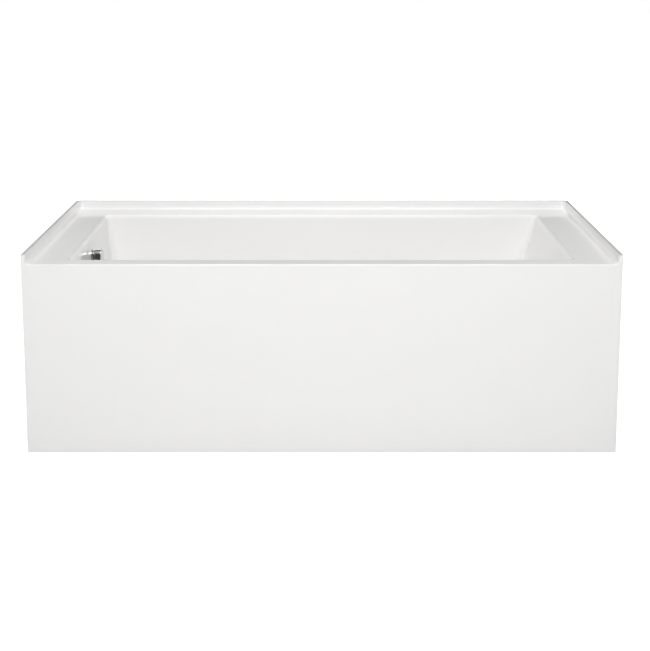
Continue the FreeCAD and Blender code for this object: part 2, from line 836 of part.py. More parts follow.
def waste_tee():
    """Moulded tee that joins riser, shoe pipe and tailpiece."""
    centre = riser_point(outlet_z)
    low = riser_point(outlet_z - tee_drop)
    top_outside, top_hollow = socket(tee_top_mouth, z_axis)
    side_outside, side_hollow = socket(tee_side_mouth, x_axis)
    tee = joined([rod(socket_radius, low, tee_top_mouth), rod(socket_radius, centre, tee_side_mouth),
                  top_outside, side_outside])
    tee = tee.cut(rod(pipe_bore, low, tee_top_mouth)).cut(rod(pipe_bore, centre, tee_side_mouth))
    thread_end = riser_point(outlet_z - pipe_bore - tee_shoulder)
    tee = tee.cut(rod(tail_thread_radius + snug, low, thread_end))
    return tee.cut(top_hollow).cut(side_hollow)


def tailpiece():
    """Outlet pipe that screws into the tee and takes the trap."""
    foot = riser_point(tail_floor_gap)
    mouth_z = outlet_z - tee_drop
    top = riser_point(outlet_z - pipe_bore - tee_shoulder - bond)
    collar_low = riser_point(mouth_z - tail_collar_height)
    collar = rod(tail_collar_radius, collar_low, riser_point(mouth_z))
    thread = rod(tail_thread_radius, riser_point(mouth_z), top)
    solid = joined([rod(pipe_radius, foot, riser_point(mouth_z)), collar, thread])
    return solid.cut(rod(pipe_bore, foot, top))


def drain_shoe():
    """Moulded elbow under the drain, with a guide for the lift pin."""
    top = drain_point(shoe_top_z)
    flange = rod(shoe_flange_radius, drain_point(shoe_flange_z), top)
    body = rod(shoe_radius, drain_point(shoe_low_z), top)
    outside, hollow = socket(shoe_mouth, -x_axis)
    arm = rod(socket_radius, drain_point(outlet_z), shoe_mouth)
    shoe = joined([flange, body, arm, outside])
    shoe = shoe.cut(rod(drain_barrel_radius + snug, drain_point(shoe_floor_z), top))
    shoe = shoe.cut(rod(pipe_bore, drain_point(outlet_z), shoe_mouth)).cut(hollow)
    guide = rod(shoe_boss_radius, drain_point(shoe_boss_low_z), drain_point(shoe_floor_z + shoe_boss_height))
    shoe = joined([shoe, guide])
    shoe = shoe.cut(rod(lift_pin_radius + running, drain_point(shoe_boss_low_z), drain_point(outlet_z)))
    return shoe.cut(rod(sheath_radius + snug, drain_point(shoe_boss_low_z), drain_point(sheath_end_z + bond)))


def shoe_gasket():
    low = drain_point(shoe_top_z)
    return tube(shoe_flange_radius, drain_hole_radius, low, drain_point(drain_underside))


def flange_gasket():
    """Putty ring under the drain flange."""
    outer = drain_flange_radius - drain_flange_edge
    return tube(outer, drain_hole_radius, drain_point(dish_z), drain_point(seat_z))


def drain_flange():
    """Chrome strainer body screwed into the shoe, with a spider that guides the lift pin."""
    low = flange_top_z - seat_drop - drain_barrel_length
    points = [(drain_throat_radius, low), (drain_barrel_radius, low), (drain_barrel_radius, seat_z)]
    points += [(drain_flange_radius, seat_z), (drain_flange_radius, seat_z + drain_flange_edge)]
    points += [(drain_flange_radius - drain_flange_edge, flange_top_z)]
    points += [(seat_inner_radius, flange_top_z - seat_drop)]
    points += [(drain_throat_radius, flange_top_z - seat_drop - seat_bevel)]
    body = turned(points, drain_point(0))
    hub = rod(spider_hub_radius, drain_point(low), drain_point(low + spider_hub_height))
    arms = []
    for number in range(3):
        reach = (drain_throat_radius + drain_barrel_radius) / 2
        half = spider_arm_width / 2
        arm = box(0, reach, -half, half, low, low + spider_arm_height)
        arm.rotate(Vector(0, 0, 0), z_axis, 120 * number + 60)
        arm.translate(Vector(drain_x, basin_y, 0))
        arms.append(arm)
    body = joined([body, hub] + arms)
    return body.cut(rod(lift_pin_radius + running, drain_point(low), drain_point(low + spider_hub_height)))


def stopper_cap():
    """Chrome mushroom cap that closes the drain."""
    edge_top = cap_under_z + cap_edge
    crown_z = edge_top + cap_crown
    ball_radius = (cap_radius ** 2 + cap_crown ** 2) / (2 * cap_crown)
    ball = Part.makeSphere(ball_radius, drain_point(crown_z - ball_radius))
    dome = rod(cap_radius, drain_point(cap_under_z), drain_point(crown_z)).common(ball)
    boss_low = drain_point(cap_under_z - cap_boss_length)
    cap = joined([dome, rod(cap_boss_radius, boss_low, drain_point(cap_under_z))])
    return cap.cut(rod(lift_pin_radius + snug, boss_low, drain_point(cap_under_z)))


def seat_height(radius):
    """Height of the drain flange's shallow seat at a radius."""
    outer = drain_flange_radius - drain_flange_edge
    share = (outer - radius) / (outer - seat_inner_radius)
    return flange_top_z - seat_drop * share


def stopper_seal():
    """Rubber ring under the cap, bevelled to the seat."""
    points = [(seal_inner_radius, seat_height(seal_inner_radius) + seal_gap)]
    points += [(seal_outer_radius, seat_height(seal_outer_radius) + seal_gap)]
    points += [(seal_outer_radius, cap_under_z), (seal_inner_radius, cap_under_z)]
    return turned(points, drain_point(0))


def lift_pin():
    """Brass pin from the cable's end up to the cap."""
    return rod(lift_pin_radius, drain_point(sheath_end_z + seal_gap), drain_point(cap_under_z - seal_gap))


def sheath_points():
    """The cable's route, from the overflow head to the drain shoe."""
    low_x = sheath_x + sheath_radius
    low_y = basin_y - sheath_side_step
    upper_z = head_mouth.z - sheath_straight
    return [
        Vector(sheath_x, basin_y, pocket_low_z),
        Vector(sheath_x, basin_y, upper_z),
        Vector(low_x, low_y, outlet_z + tee_run),
        Vector(low_x, low_y, sheath_floor_height),
        Vector(drain_x, basin_y, sheath_floor_height),
        Vector(drain_x, basin_y, sheath_end_z),
    ]


def bend_radii(points, seat):
    """Each arc is 0.45 of its shorter run over the tangent of half its turn; the last stops at its seat."""
    radii = []
    for before, here, after in zip(points, points[1:], points[2:]):
        turn = (here - before).getAngle(after - here)
        shorter = min((here - before).Length, (after - here).Length)
        radii.append(0.45 * shorter / math.tan(turn / 2))
    radii[-1] = min(seat, (points[-1] - points[-2]).Length - sheath_seat)
    return radii


def bent_path(points, radii):
    """Straight runs joined by tangent arcs."""
    edges = []
    last = points[0]
    for before, corner, after, radius in zip(points, points[1:], points[2:], radii):
        to_before = (before - corner).normalize()
        to_after = (after - corner).normalize()
        half_turn = (math.pi - to_before.getAngle(to_after)) / 2
        setback = radius * math.tan(half_turn)
        start = corner + to_before * setback
        end = corner + to_after * setback
        middle_way = (to_before + to_after).normalize()
        centre = corner + middle_way * (radius / math.cos(half_turn))
        middle = centre - middle_way * radius
        edges.append(Part.LineSegment(last, start).toShape())
        edges.append(Part.Arc(start, middle, end).toShape())
        last = end
    edges.append(Part.LineSegment(last, points[-1]).toShape())
    return Part.Wire(edges)


def cable_sheath():
    """Sheathed cable that carries the crank's travel to the lift pin."""
    points = sheath_points()
    radii = bend_radii(points, sheath_bend)
    path = bent_path(points, radii)
    ring = Part.Wire([Part.makeCircle(sheath_radius, points[0], points[1] - points[0])])
    sheath = path.makePipeShell([ring], True, False)
    section = math.pi * sheath_radius ** 2
    print("cable radii", [round(radius, 1) for radius in radii])
    print("cable volume over section times length", round(sheath.Volume / (section * path.Length), 4))
    bore_end = points[0] - z_axis * (core_rest_depth + stopper_lift + gland_length)
    return sheath.cut(rod(core_radius + core_clearance, bore_end, points[0]))


def cable_clip():
    """Plastic clip that holds the cable to the riser."""
    high = head_mouth.z - clip_drop
    low = high - clip_height
    on_pipe = rod(pipe_radius + snug + clip_wall, riser_point(low), riser_point(high))
    cable_low = Vector(sheath_x, basin_y, low)
    cable_high = Vector(sheath_x, basin_y, high)
    on_cable = rod(sheath_radius + snug + clip_wall, cable_low, cable_high)
    bridge = box(sheath_x, pipe_x, basin_y - clip_wall, basin_y + clip_wall, low, high)
    clip = joined([on_pipe, on_cable, bridge])
    clip = clip.cut(rod(pipe_radius + snug, riser_point(low), riser_point(high)))
    return clip.cut(rod(sheath_radius + snug, cable_low, cable_high))


def write(node, shape):
    """Write one node; a list of solids becomes one group."""
    if isinstance(shape, list):
        shape = Part.makeCompound(shape)
    if not shape.isValid():
        print("not valid:", node)
    print(node, len(shape.Solids), round(shape.Volume))
    shape.exportStep("parts/" + node + ".step")


def main():
    os.makedirs("parts", exist_ok=True)
    pieces = {
        "tub_shell": tub_shell(),
        "shell_laminate": shell_laminate(),
        "apron_panel": apron_panel(),
        "apron_laminate": apron_laminate(),
        "base_board": base_board(),
        "base_runners": base_runners(),
        "foot_pads": foot_pads(),
        "apron_bottom_rail": apron_bottom_rail(),
        "apron_ribs": apron_ribs(),
        "apron_braces": apron_braces(),
        "overflow_gasket": overflow_gasket(),
        "overflow_escutcheon": overflow_escutcheon(),
        "overflow_screws": overflow_screws(),
        "overflow_head": overflow_head(),
        "head_cover": head_cover(),
        "spindle_seal": spindle_seal(),
        "overflow_knob": overflow_knob(),
        "knob_set_screw": knob_set_screw(),
        "knob_spindle": knob_spindle(),
        "cable_yoke": cable_yoke(),
        "cable_sheath": cable_sheath(),
        "cable_clip": cable_clip(),
        "overflow_pipe": overflow_pipe(),
        "waste_tee": waste_tee(),
        "shoe_pipe": shoe_pipe(),
        "drain_shoe": drain_shoe(),
        "tailpiece": tailpiece(),
        "slip_nuts": [slip_nut(mouth, outwards) for mouth, outwards in slip_joints],
        "slip_washers": [slip_washer(mouth, outwards) for mouth, outwards in slip_joints],
        "shoe_gasket": shoe_gasket(),
        "flange_gasket": flange_gasket(),
        "drain_flange": drain_flange(),
        "stopper_cap": stopper_cap(),
        "stopper_seal": stopper_seal(),
        "lift_pin": lift_pin(),
    }
    pieces.update(deck_battens())
    for node, shape in pieces.items():
        write(node, shape)
    print("stopper lift", round(stopper_lift, 3))


main()
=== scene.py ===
import math

import bmesh
import bpy
import numpy as np
from mathutils import Matrix, Vector


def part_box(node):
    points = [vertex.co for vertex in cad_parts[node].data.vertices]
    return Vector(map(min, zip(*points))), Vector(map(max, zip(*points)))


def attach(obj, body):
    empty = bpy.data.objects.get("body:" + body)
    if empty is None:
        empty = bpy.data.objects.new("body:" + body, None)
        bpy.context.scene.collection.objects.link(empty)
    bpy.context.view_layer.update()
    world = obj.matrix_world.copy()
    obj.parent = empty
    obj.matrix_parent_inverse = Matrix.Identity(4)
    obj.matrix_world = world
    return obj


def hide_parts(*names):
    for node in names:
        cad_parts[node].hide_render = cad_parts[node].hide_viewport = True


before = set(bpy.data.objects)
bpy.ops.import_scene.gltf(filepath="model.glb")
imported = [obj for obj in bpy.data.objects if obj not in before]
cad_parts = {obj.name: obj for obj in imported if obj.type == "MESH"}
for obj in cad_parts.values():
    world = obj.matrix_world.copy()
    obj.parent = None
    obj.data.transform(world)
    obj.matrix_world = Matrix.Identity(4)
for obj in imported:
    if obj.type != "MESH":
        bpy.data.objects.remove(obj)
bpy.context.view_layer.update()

mm = 0.001

# An alcove bathtub: white acrylic with a skirt, cable waste, timber and glass fibre underneath.
# X runs along the tub with the drain at -X, the skirt faces -Y and Z = 0 is the floor.
# Shapes are in millimetres and degrees, materials and the studio in metres.

print("scene: helpers")

meshing = {"weld": 0.001, "shortest": 0.0001, "smoothAngle": 35.0, "holeSegments": 96, "widestHole": 4}


def spaced(start, stop, steps):
    return np.linspace(start, stop, steps + 1)


def angles(start, stop, steps):
    return np.radians(spaced(start, stop, steps))


def planLine(x, y):
    # level points from their x and y, either of which may be one number
    return np.stack(np.broadcast_arrays(x, y), -1)


def unit(vectors):
    return vectors / np.hypot(vectors[:, 0], vectors[:, 1])[:, None]


def asLoop(plan, z):
    # the points of a plan with their height, one for all or one each
    return np.concatenate([plan, np.broadcast_to(np.asarray(z, float), len(plan))[:, None]], -1)


def gridPatch(rows, closed=False):
    # a grid of points and its quads, each joining four neighbours; where closed, the last
    # column meets the first
    points = np.asarray(rows)
    index = np.arange(points.shape[0] * points.shape[1]).reshape(points.shape[:2])
    here, after = (index, np.roll(index, -1, axis=1)) if closed else (index[:, :-1], index[:, 1:])
    return points, np.stack([here[:-1], after[:-1], after[1:], here[1:]], axis=-1).reshape(-1, 4)


def makePiece(name, patches, material, smoothAngle=meshing["smoothAngle"]):
    # one object from patches: seams welded, normals outwards, and edges sharper than
    # smoothAngle left crisp
    points = np.concatenate([grid.reshape(-1, 3) for grid, quads in patches])
    starts = np.cumsum([0] + [grid.size // 3 for grid, quads in patches])
    quads = np.concatenate([quads + start for (grid, quads), start in zip(patches, starts)])
    mesh = bpy.data.meshes.new(name)
    mesh.from_pydata(points * mm, [], quads.tolist())
    work = bmesh.new()
    work.from_mesh(mesh)
    bmesh.ops.remove_doubles(work, verts=work.verts, dist=meshing["weld"] * mm)
    bmesh.ops.dissolve_degenerate(work, edges=work.edges, dist=meshing["shortest"] * mm)
    bmesh.ops.recalc_face_normals(work, faces=work.faces)
    work.to_mesh(mesh)
    work.free()
    mesh.shade_smooth()
    mesh.set_sharp_from_angle(angle=math.radians(smoothAngle))
    mesh.materials.append(material)
    return addObject(name, mesh)


def addObject(name, data):
    made = bpy.data.objects.new(name, data)
    bpy.context.scene.collection.objects.link(made)
    return made


def cutRound(piece, centre, radius, length):
    # a round hole along X right through the piece
    work = bmesh.new()
    bmesh.ops.create_cone(work, cap_ends=True, segments=meshing["holeSegments"], radius1=radius * mm,
                          radius2=radius * mm, depth=length * mm)
    bmesh.ops.rotate(work, verts=work.verts, matrix=Matrix.Rotation(math.pi / 2, 3, "Y"))
    bmesh.ops.translate(work, verts=work.verts, vec=Vector(centre) * mm)
    mesh = bpy.data.meshes.new("cutter")
    work.to_mesh(mesh)
    work.free()
    cutter = addObject("cutter", mesh)
    cut = piece.modifiers.new("roundHole", "BOOLEAN")
    cut.operation, cut.solver, cut.object = "DIFFERENCE", "EXACT", cutter
    bpy.context.view_layer.update()
    depsgraph = bpy.context.evaluated_depsgraph_get()
    finished = bpy.data.meshes.new_from_object(piece.evaluated_get(depsgraph))
    piece.modifiers.clear()
    piece.data = finished
    # the cut can lose a thin triangle elsewhere, which is put back
    work = bmesh.new()
    work.from_mesh(finished)
    borders = [edge for edge in work.edges if edge.is_boundary]
    bmesh.ops.holes_fill(work, edges=borders, sides=meshing["widestHole"])
    bmesh.ops.recalc_face_normals(work, faces=work.faces)
    work.to_mesh(finished)
    work.free()
    bpy.data.objects.remove(cutter)


def fit(piece, body, slot, *nodes):
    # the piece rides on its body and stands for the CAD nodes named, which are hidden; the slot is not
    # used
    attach(piece, body)
    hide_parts(*nodes)


print("scene: materials")


def setInputs(tree, node, inputs):
    # inputs are links from sockets or plain values
    for key, value in inputs.items():
        if isinstance(value, bpy.types.NodeSocket):
            tree.links.new(value, node.inputs[key])
        else:
            node.inputs[key].default_value = value


def addNode(tree, kind, inputs=None, **settings):
    node = tree.nodes.new("ShaderNode" + kind)
    for key, value in settings.items():
        setattr(node, key, value)
    setInputs(tree, node, inputs or {})
    return node


def mathNode(tree, operation, first, second=0.0, third=0.0, **settings):
    inputs = {0: first, 1: second, 2: third}
    return addNode(tree, "Math", inputs, operation=operation, **settings).outputs[0]


def vectorMath(tree, operation, first, second=(0, 0, 0)):
    made = addNode(tree, "VectorMath", {0: first, 1: second}, operation=operation)
    return made.outputs["Value" if operation == "LENGTH" else "Vector"]


def apart(tree, vector):
    return addNode(tree, "SeparateXYZ", {0: vector}).outputs


def turnPlace(tree, place, turn):
    inputs = {"Vector": place, "Rotation": turn}
    return addNode(tree, "VectorRotate", inputs, rotation_type="EULER_XYZ").outputs[0]


def noise(tree, place, scale, detail):
    # noise from 0 to 1 at one scale, or at three that draw it out along an axis
    if isinstance(scale, tuple):
        place, scale = vectorMath(tree, "MULTIPLY", place, scale), 1.0
    inputs = {"Vector": place, "Scale": scale, "Detail": detail}
    return addNode(tree, "TexNoise", inputs).outputs["Fac"]


def mapRange(tree, value, low, high, toLow=0.0, toHigh=1.0, **settings):
    inputs = {"Value": value, "From Min": low, "From Max": high, "To Min": toLow, "To Max": toHigh}
    return addNode(tree, "MapRange", inputs, **settings).outputs[0]


def mixValues(tree, share, first, second):
    return addNode(tree, "Mix", {0: share, 2: first, 3: second}).outputs[0]


def opaque(colour):
    return (*colour, 1.0) if isinstance(colour, tuple) else colour


def mixColours(tree, share, first, second):
    inputs = {0: share, 6: opaque(first), 7: opaque(second)}
    return addNode(tree, "Mix", inputs, data_type="RGBA").outputs[2]


def emptyTree(block):
    block.use_nodes = True
    block.node_tree.nodes.clear()
    return block.node_tree


def nodeMaterial(name):
    # a material with its tree and each point's place on the object
    material = bpy.data.materials.new(name)
    tree = emptyTree(material)
    return material, tree, addNode(tree, "TexCoord").outputs["Object"]


def dress(material, colour, roughness, height, depth, metallic=0.0, ior=1.5):
    # gives the material its shader, with a relief that is height times depth
    tree = material.node_tree
    relief = addNode(tree, "Bump", {"Height": height, "Distance": depth, "Strength": 1.0})
    shader = addNode(tree, "BsdfPrincipled", {
        "Base Color": colour, "Roughness": roughness, "Metallic": metallic, "IOR": ior,
        "Normal": relief.outputs["Normal"]})
    addNode(tree, "OutputMaterial", {"Surface": shader.outputs["BSDF"]})
    return material


def newGroup(name, inputs, outputs):
    # an empty shader group, the sockets it is given and its output node; inputs and outputs
    # are names of sockets by kind
    group = bpy.data.node_groups.new(name, "ShaderNodeTree")
    for way, kinds in (("INPUT", inputs), ("OUTPUT", outputs)):
        for kind, sockets in kinds.items():
            for socket in sockets:
                group.interface.new_socket(name=socket, in_out=way, socket_type="NodeSocket" + kind)
    return group, group.nodes.new("NodeGroupInput").outputs, group.nodes.new("NodeGroupOutput")


unevenness = {"rippleDetail": 2.0, "grainDetail": 3.0, "toneRange": (0.3, 0.7)}


def makeUnevenFinish():
    # a moulded or polished surface: a slow ripple with fine grain mixed in, and a gloss that
    # is the roughness plus the ripple's part of its range
    group, given, out = newGroup(
        "unevenFinish", {"Vector": ["Position"], "Float": [
            "Ripple Length", "Grain Length", "Grain Share", "Roughness", "Roughness Range"]},
        {"Float": ["Tone", "Roughness", "Height"]})
    ripplesPerMetre = mathNode(group, "DIVIDE", 1.0, given["Ripple Length"])
    grainsPerMetre = mathNode(group, "DIVIDE", 1.0, given["Grain Length"])
    ripple = noise(group, given["Position"], ripplesPerMetre, unevenness["rippleDetail"])
    grain = noise(group, given["Position"], grainsPerMetre, unevenness["grainDetail"])
    centred = mathNode(group, "SUBTRACT", ripple, 0.5)
    gloss = mathNode(group, "MULTIPLY_ADD", centred, given["Roughness Range"], given["Roughness"])
    setInputs(group, out, {"Tone": mapRange(group, ripple, *unevenness["toneRange"]), "Roughness": gloss,
                           "Height": mixValues(group, given["Grain Share"], ripple, grain)})
    return group


wood = {
    # noises are scale and detail, ranges are low and high to low and high
    "alongRings": (0.04, 1, 1), "wanderNoise": ((1.6, 9, 9), 2.0), "wander": 0.022, "lateWoodPower": 2.4,
    "fibreNoise": ((14, 900, 900), 3.0), "fibreRange": (0.42, 0.75, 0.0, 0.35),
    "stainNoise": ((3, 12, 12), 2.0), "stainRange": (0.35, 0.7, -0.08, 0.14),
    "roughness": 0.58, "fibreRoughness": 0.4, "lateWoodHeight": 0.5,
}


def makeWoodGrain():
    # softwood cut along X: a ring's number is the distance from a far-off heart, bent by noise,
    # over the ring width, and late wood is a power of its fraction; pores are drawn out along X
    group, given, out = newGroup(
        "woodGrain", {"Vector": ["Position", "Heart"], "Color": ["Early", "Late"],
                      "Float": ["Ring Width", "Ring Strength"]},
        {"Color": ["Color"], "Float": ["Roughness", "Height"]})
    place = given["Position"]
    wander = noise(group, place, *wood["wanderNoise"])
    fromHeart = vectorMath(group, "SUBTRACT", place, given["Heart"])
    radius = vectorMath(group, "LENGTH", vectorMath(group, "MULTIPLY", fromHeart, wood["alongRings"]))
    bent = mathNode(group, "MULTIPLY_ADD", wander, wood["wander"], radius)
    ring = mathNode(group, "FRACT", mathNode(group, "DIVIDE", bent, given["Ring Width"]))
    late = mathNode(group, "POWER", ring, wood["lateWoodPower"])
    streak = mapRange(group, noise(group, place, *wood["fibreNoise"]), *wood["fibreRange"])
    stain = mapRange(group, noise(group, place, *wood["stainNoise"]), *wood["stainRange"])
    rings = mathNode(group, "MULTIPLY", late, given["Ring Strength"])
    total = mathNode(group, "ADD", mathNode(group, "ADD", rings, streak), stain, use_clamp=True)
    dull = mathNode(group, "MULTIPLY_ADD", streak, wood["fibreRoughness"], wood["roughness"])
    raised = mathNode(group, "MULTIPLY", late, wood["lateWoodHeight"])
    setInputs(group, out, {"Color": mixColours(group, total, given["Early"], given["Late"]),
                           "Roughness": dull, "Height": mathNode(group, "SUBTRACT", raised, streak)})
    return group


strands = {"turns": ((0, 0.1, 0.3), (0.4, 0, 1.2), (1.1, 0.5, 2.1), (0.2, 1.2, 0.4), (0.7, 0.9, 2.7),
                     (1.5, 1.4, 1.0)), "range": (0.6, 0.76), "detail": 1.0}


def makeStrandMat():
    # chopped glass strands lying every way: noise drawn out along six directions, of which the
    # strongest wins
    group, given, out = newGroup(
        "strandMat", {"Vector": ["Position"], "Float": ["Strand Length", "Strand Width"]},
        {"Float": ["Strand", "Height"]})
    lengthways = mathNode(group, "DIVIDE", 1.0, given["Strand Length"])
    across = mathNode(group, "DIVIDE", 1.0, given["Strand Width"])
    stretch = addNode(group, "CombineXYZ", {0: lengthways, 1: across, 2: across}).outputs[0]
    best = None
    for turn in strands["turns"]:
        drawnOut = vectorMath(group, "MULTIPLY", turnPlace(group, given["Position"], turn), stretch)
        fibre = noise(group, drawnOut, 1.0, strands["detail"])
        best = fibre if best is None else mathNode(group, "MAXIMUM", best, fibre)
    setInputs(group, out, {"Strand": mapRange(group, best, *strands["range"]), "Height": best})
    return group


unevenFinish = makeUnevenFinish()
woodGrain = makeWoodGrain()
strandMat = makeStrandMat()

mouldedFinishes = {
    # light and dark colour, metallic, roughness and its range, ripple and grain length, the
    # grain's share, depth, IOR
    "acrylicSheet": ((0.88, 0.874, 0.866), (0.872, 0.87, 0.866),
        0.0, 0.055, 0.04, 0.045, 0.0016, 0.04, 0.00002, 1.46),
    "chromePlate": ((0.57, 0.575, 0.58), (0.51, 0.515, 0.525),
        1.0, 0.1, 0.08, 0.02, 0.0008, 0.2, 0.000006, 1.45),
    "padRubber": ((0.075, 0.073, 0.07), (0.035, 0.035, 0.034),
        0.0, 0.72, 0.25, 0.012, 0.0007, 0.7, 0.00012, 1.5),
    "sealRubber": ((0.05, 0.05, 0.05), (0.025, 0.025, 0.026),
        0.0, 0.5, 0.2, 0.018, 0.0006, 0.6, 0.00005, 1.5),
    "fittingPlastic": ((0.8, 0.795, 0.77), (0.74, 0.735, 0.705),
        0.0, 0.42, 0.12, 0.03, 0.0006, 0.8, 0.00006, 1.47),
    "nutPlastic": ((0.72, 0.72, 0.71), (0.64, 0.64, 0.63),
        0.0, 0.36, 0.12, 0.02, 0.0005, 0.7, 0.00005, 1.5),
    "cablePlastic": ((0.05, 0.05, 0.052), (0.022, 0.022, 0.024),
        0.0, 0.38, 0.14, 0.01, 0.0005, 0.6, 0.00004, 1.5),
}
# the sawn top edge of the tile flange, from this height up: duller, and painted grey as a dark line of
# shade along the flange's top
sawnEdgeAndShade = {"from": 0.5225, "over": 0.0003, "colour": (0.5, 0.495, 0.485), "roughness": 0.5}


def makeMoulded(name):
    # an almost even colour with a slow ripple and a slightly uneven polish
    light, dark, metallic, roughness, spread, ripple, grain, share, depth, ior = mouldedFinishes[name]
    material, tree, place = nodeMaterial(name)
    finish = addNode(tree, "Group", {
        "Position": place, "Ripple Length": ripple, "Grain Length": grain, "Grain Share": share,
        "Roughness": roughness, "Roughness Range": spread}, node_tree=unevenFinish).outputs
    colour, gloss = mixColours(tree, finish["Tone"], light, dark), finish["Roughness"]
    if name == "acrylicSheet":
        # the flange's top edge is made duller and painted grey: painted shade for the dark line along its
        # top
        low = sawnEdgeAndShade["from"]
        edgeShadeMask = mapRange(tree, apart(tree, place)[2], low, low + sawnEdgeAndShade["over"])
        colour = mixColours(tree, edgeShadeMask, colour, sawnEdgeAndShade["colour"])
        gloss = mixValues(tree, edgeShadeMask, gloss, sawnEdgeAndShade["roughness"])
    return dress(material, colour, gloss, finish["Height"], depth, metallic, ior)


drawnFinishes = {
    # light and dark colour, metallic, roughness and its range, stretch of the tool marks, depth
    "screwSteel": ((0.6, 0.59, 0.58), (0.42, 0.41, 0.4), 1.0, 0.3, 0.2, (2500, 120, 120), 0.00002),
    "spindleBrass": ((0.72, 0.53, 0.24), (0.5, 0.35, 0.14), 1.0, 0.28, 0.2, (2500, 60, 60), 0.00002),
    "uprightPipe": ((0.82, 0.82, 0.79), (0.74, 0.74, 0.7), 0.0, 0.24, 0.14, (420, 420, 3), 0.00003),
    "levelPipe": ((0.82, 0.82, 0.79), (0.74, 0.74, 0.7), 0.0, 0.24, 0.14, (3, 420, 420), 0.00003),
}
toolMarks = {"detail": 4.0, "share": 0.7, "cloudNoise": (45.0, 2.0), "cloudShare": 0.3,
             "toneRange": (0.35, 0.65)}


def makeDrawn(name):
    # tool marks drawn out along one axis over a slow cloud
    light, dark, metallic, roughness, spread, stretch, depth = drawnFinishes[name]
    material, tree, place = nodeMaterial(name)
    marks = noise(tree, place, stretch, toolMarks["detail"])
    cloud = noise(tree, place, *toolMarks["cloudNoise"])
    clouded = mathNode(tree, "MULTIPLY", cloud, toolMarks["cloudShare"])
    tone = mathNode(tree, "MULTIPLY_ADD", marks, toolMarks["share"], clouded)
    colour = mixColours(tree, mapRange(tree, tone, *toolMarks["toneRange"]), light, dark)
    centred = mathNode(tree, "SUBTRACT", marks, 0.5)
    gloss = mathNode(tree, "MULTIPLY_ADD", centred, spread, roughness)
    return dress(material, colour, gloss, marks, depth, metallic)


timber = {"early": (0.74, 0.54, 0.32), "late": (0.47, 0.28, 0.12), "ringWidth": 0.0065,
          "ringStrength": 0.62, "depth": 0.00025}
plywood = {"early": (0.73, 0.55, 0.35), "late": (0.55, 0.37, 0.2), "ringWidth": 0.011,
           "ringStrength": 0.5, "depth": 0.00015, "heart": (0.0, 0.31, -0.17),
           "glue": (0.26, 0.17, 0.09), "glueRange": (0.42, 0.5, 0.0, 0.8)}
glass = {"resin": (0.5, 0.49, 0.33), "strand": (0.78, 0.77, 0.66), "dry": (0.66, 0.65, 0.52),
         "strandLength": 0.032, "strandWidth": 0.0012, "strandShare": 0.75, "dryNoise": (11.0, 4.0),
         "dryRange": (0.42, 0.66), "roughness": 0.32, "dryRoughness": 0.28, "depth": 0.0006}


def cutWood(tree, place, finish, heart, turn):
    # the wood group with its grain turned from X to the piece's own direction
    return addNode(tree, "Group", {
        "Position": turnPlace(tree, place, turn), "Heart": heart, "Ring Width": finish["ringWidth"],
        "Early": opaque(finish["early"]), "Late": opaque(finish["late"]),
        "Ring Strength": finish["ringStrength"]}, node_tree=woodGrain).outputs


def makeTimber(name, turn, heart):
    material, tree, place = nodeMaterial(name)
    grain = cutWood(tree, place, timber, heart, turn)
    return dress(material, grain["Color"], grain["Roughness"], grain["Height"], timber["depth"])


def makePlywood(name, axis, start, fall, pitch, ply):
    # veneers stacked along one axis from a start that may fall with X and repeat at a pitch,
    # their grain crossing by turns, with dark glue lines at the edges: the veneer's number is
    # the depth from the start over the ply
    material, tree, place = nodeMaterial(name)
    parts = apart(tree, place)
    level = mathNode(tree, "MULTIPLY_ADD", parts[0], fall, start)
    depth = mathNode(tree, "SUBTRACT", parts[axis], level)
    if pitch:
        depth = mathNode(tree, "MODULO", depth, pitch)
    plies = mathNode(tree, "DIVIDE", depth, ply)
    odd = mathNode(tree, "MODULO", mathNode(tree, "FLOOR", plies), 2.0)
    lengthways = (0, 0, 0) if axis == 2 else (0, math.pi / 2, 0)
    along = cutWood(tree, place, plywood, plywood["heart"], lengthways)
    crossing = cutWood(tree, place, plywood, plywood["heart"], (0, 0, math.pi / 2))
    veneers = mixColours(tree, odd, along["Color"], crossing["Color"])
    centred = mathNode(tree, "SUBTRACT", mathNode(tree, "FRACT", plies), 0.5)
    fromMiddle = mathNode(tree, "ABSOLUTE", centred)
    line = mapRange(tree, fromMiddle, *plywood["glueRange"])
    colour = mixColours(tree, line, veneers, plywood["glue"])
    return dress(material, colour, along["Roughness"], along["Height"], plywood["depth"])


def makeGlassFibre():
    # sprayed strands wetted out with clear resin: pale threads over a greenish-yellow ground,
    # with drier, whiter patches
    material, tree, place = nodeMaterial("glassFibre")
    mat = addNode(tree, "Group", {
        "Position": place, "Strand Length": glass["strandLength"],
        "Strand Width": glass["strandWidth"]}, node_tree=strandMat).outputs
    dry = mapRange(tree, noise(tree, place, *glass["dryNoise"]), *glass["dryRange"])
    ground = mixColours(tree, dry, glass["resin"], glass["dry"])
    share = mathNode(tree, "MULTIPLY", mat["Strand"], glass["strandShare"])
    colour = mixColours(tree, share, ground, glass["strand"])
    gloss = mathNode(tree, "MULTIPLY_ADD", dry, glass["dryRoughness"], glass["roughness"])
    return dress(material, colour, gloss, mat["Height"], glass["depth"])


glassFibre = makeGlassFibre()
moulded = {name: makeMoulded(name) for name in mouldedFinishes}
acrylic = moulded["acrylicSheet"]
drawn = {name: makeDrawn(name) for name in drawnFinishes}
timberLong = makeTimber("timberLong", turn=(0, 0, 0), heart=(0.0, 0.09, -0.12))
timberAcross = makeTimber("timberAcross", turn=(0, 0, -math.pi / 2), heart=(0.0, 0.21, -0.17))
boardPlywood = makePlywood("boardPlywood", axis=2, start=0.09282, fall=0.01, pitch=0, ply=0.015 / 7)
ribPlywood = makePlywood("ribPlywood", axis=0, start=-0.606, fall=0.0, pitch=0.3, ply=0.012 / 5)

print("scene: tub shell")

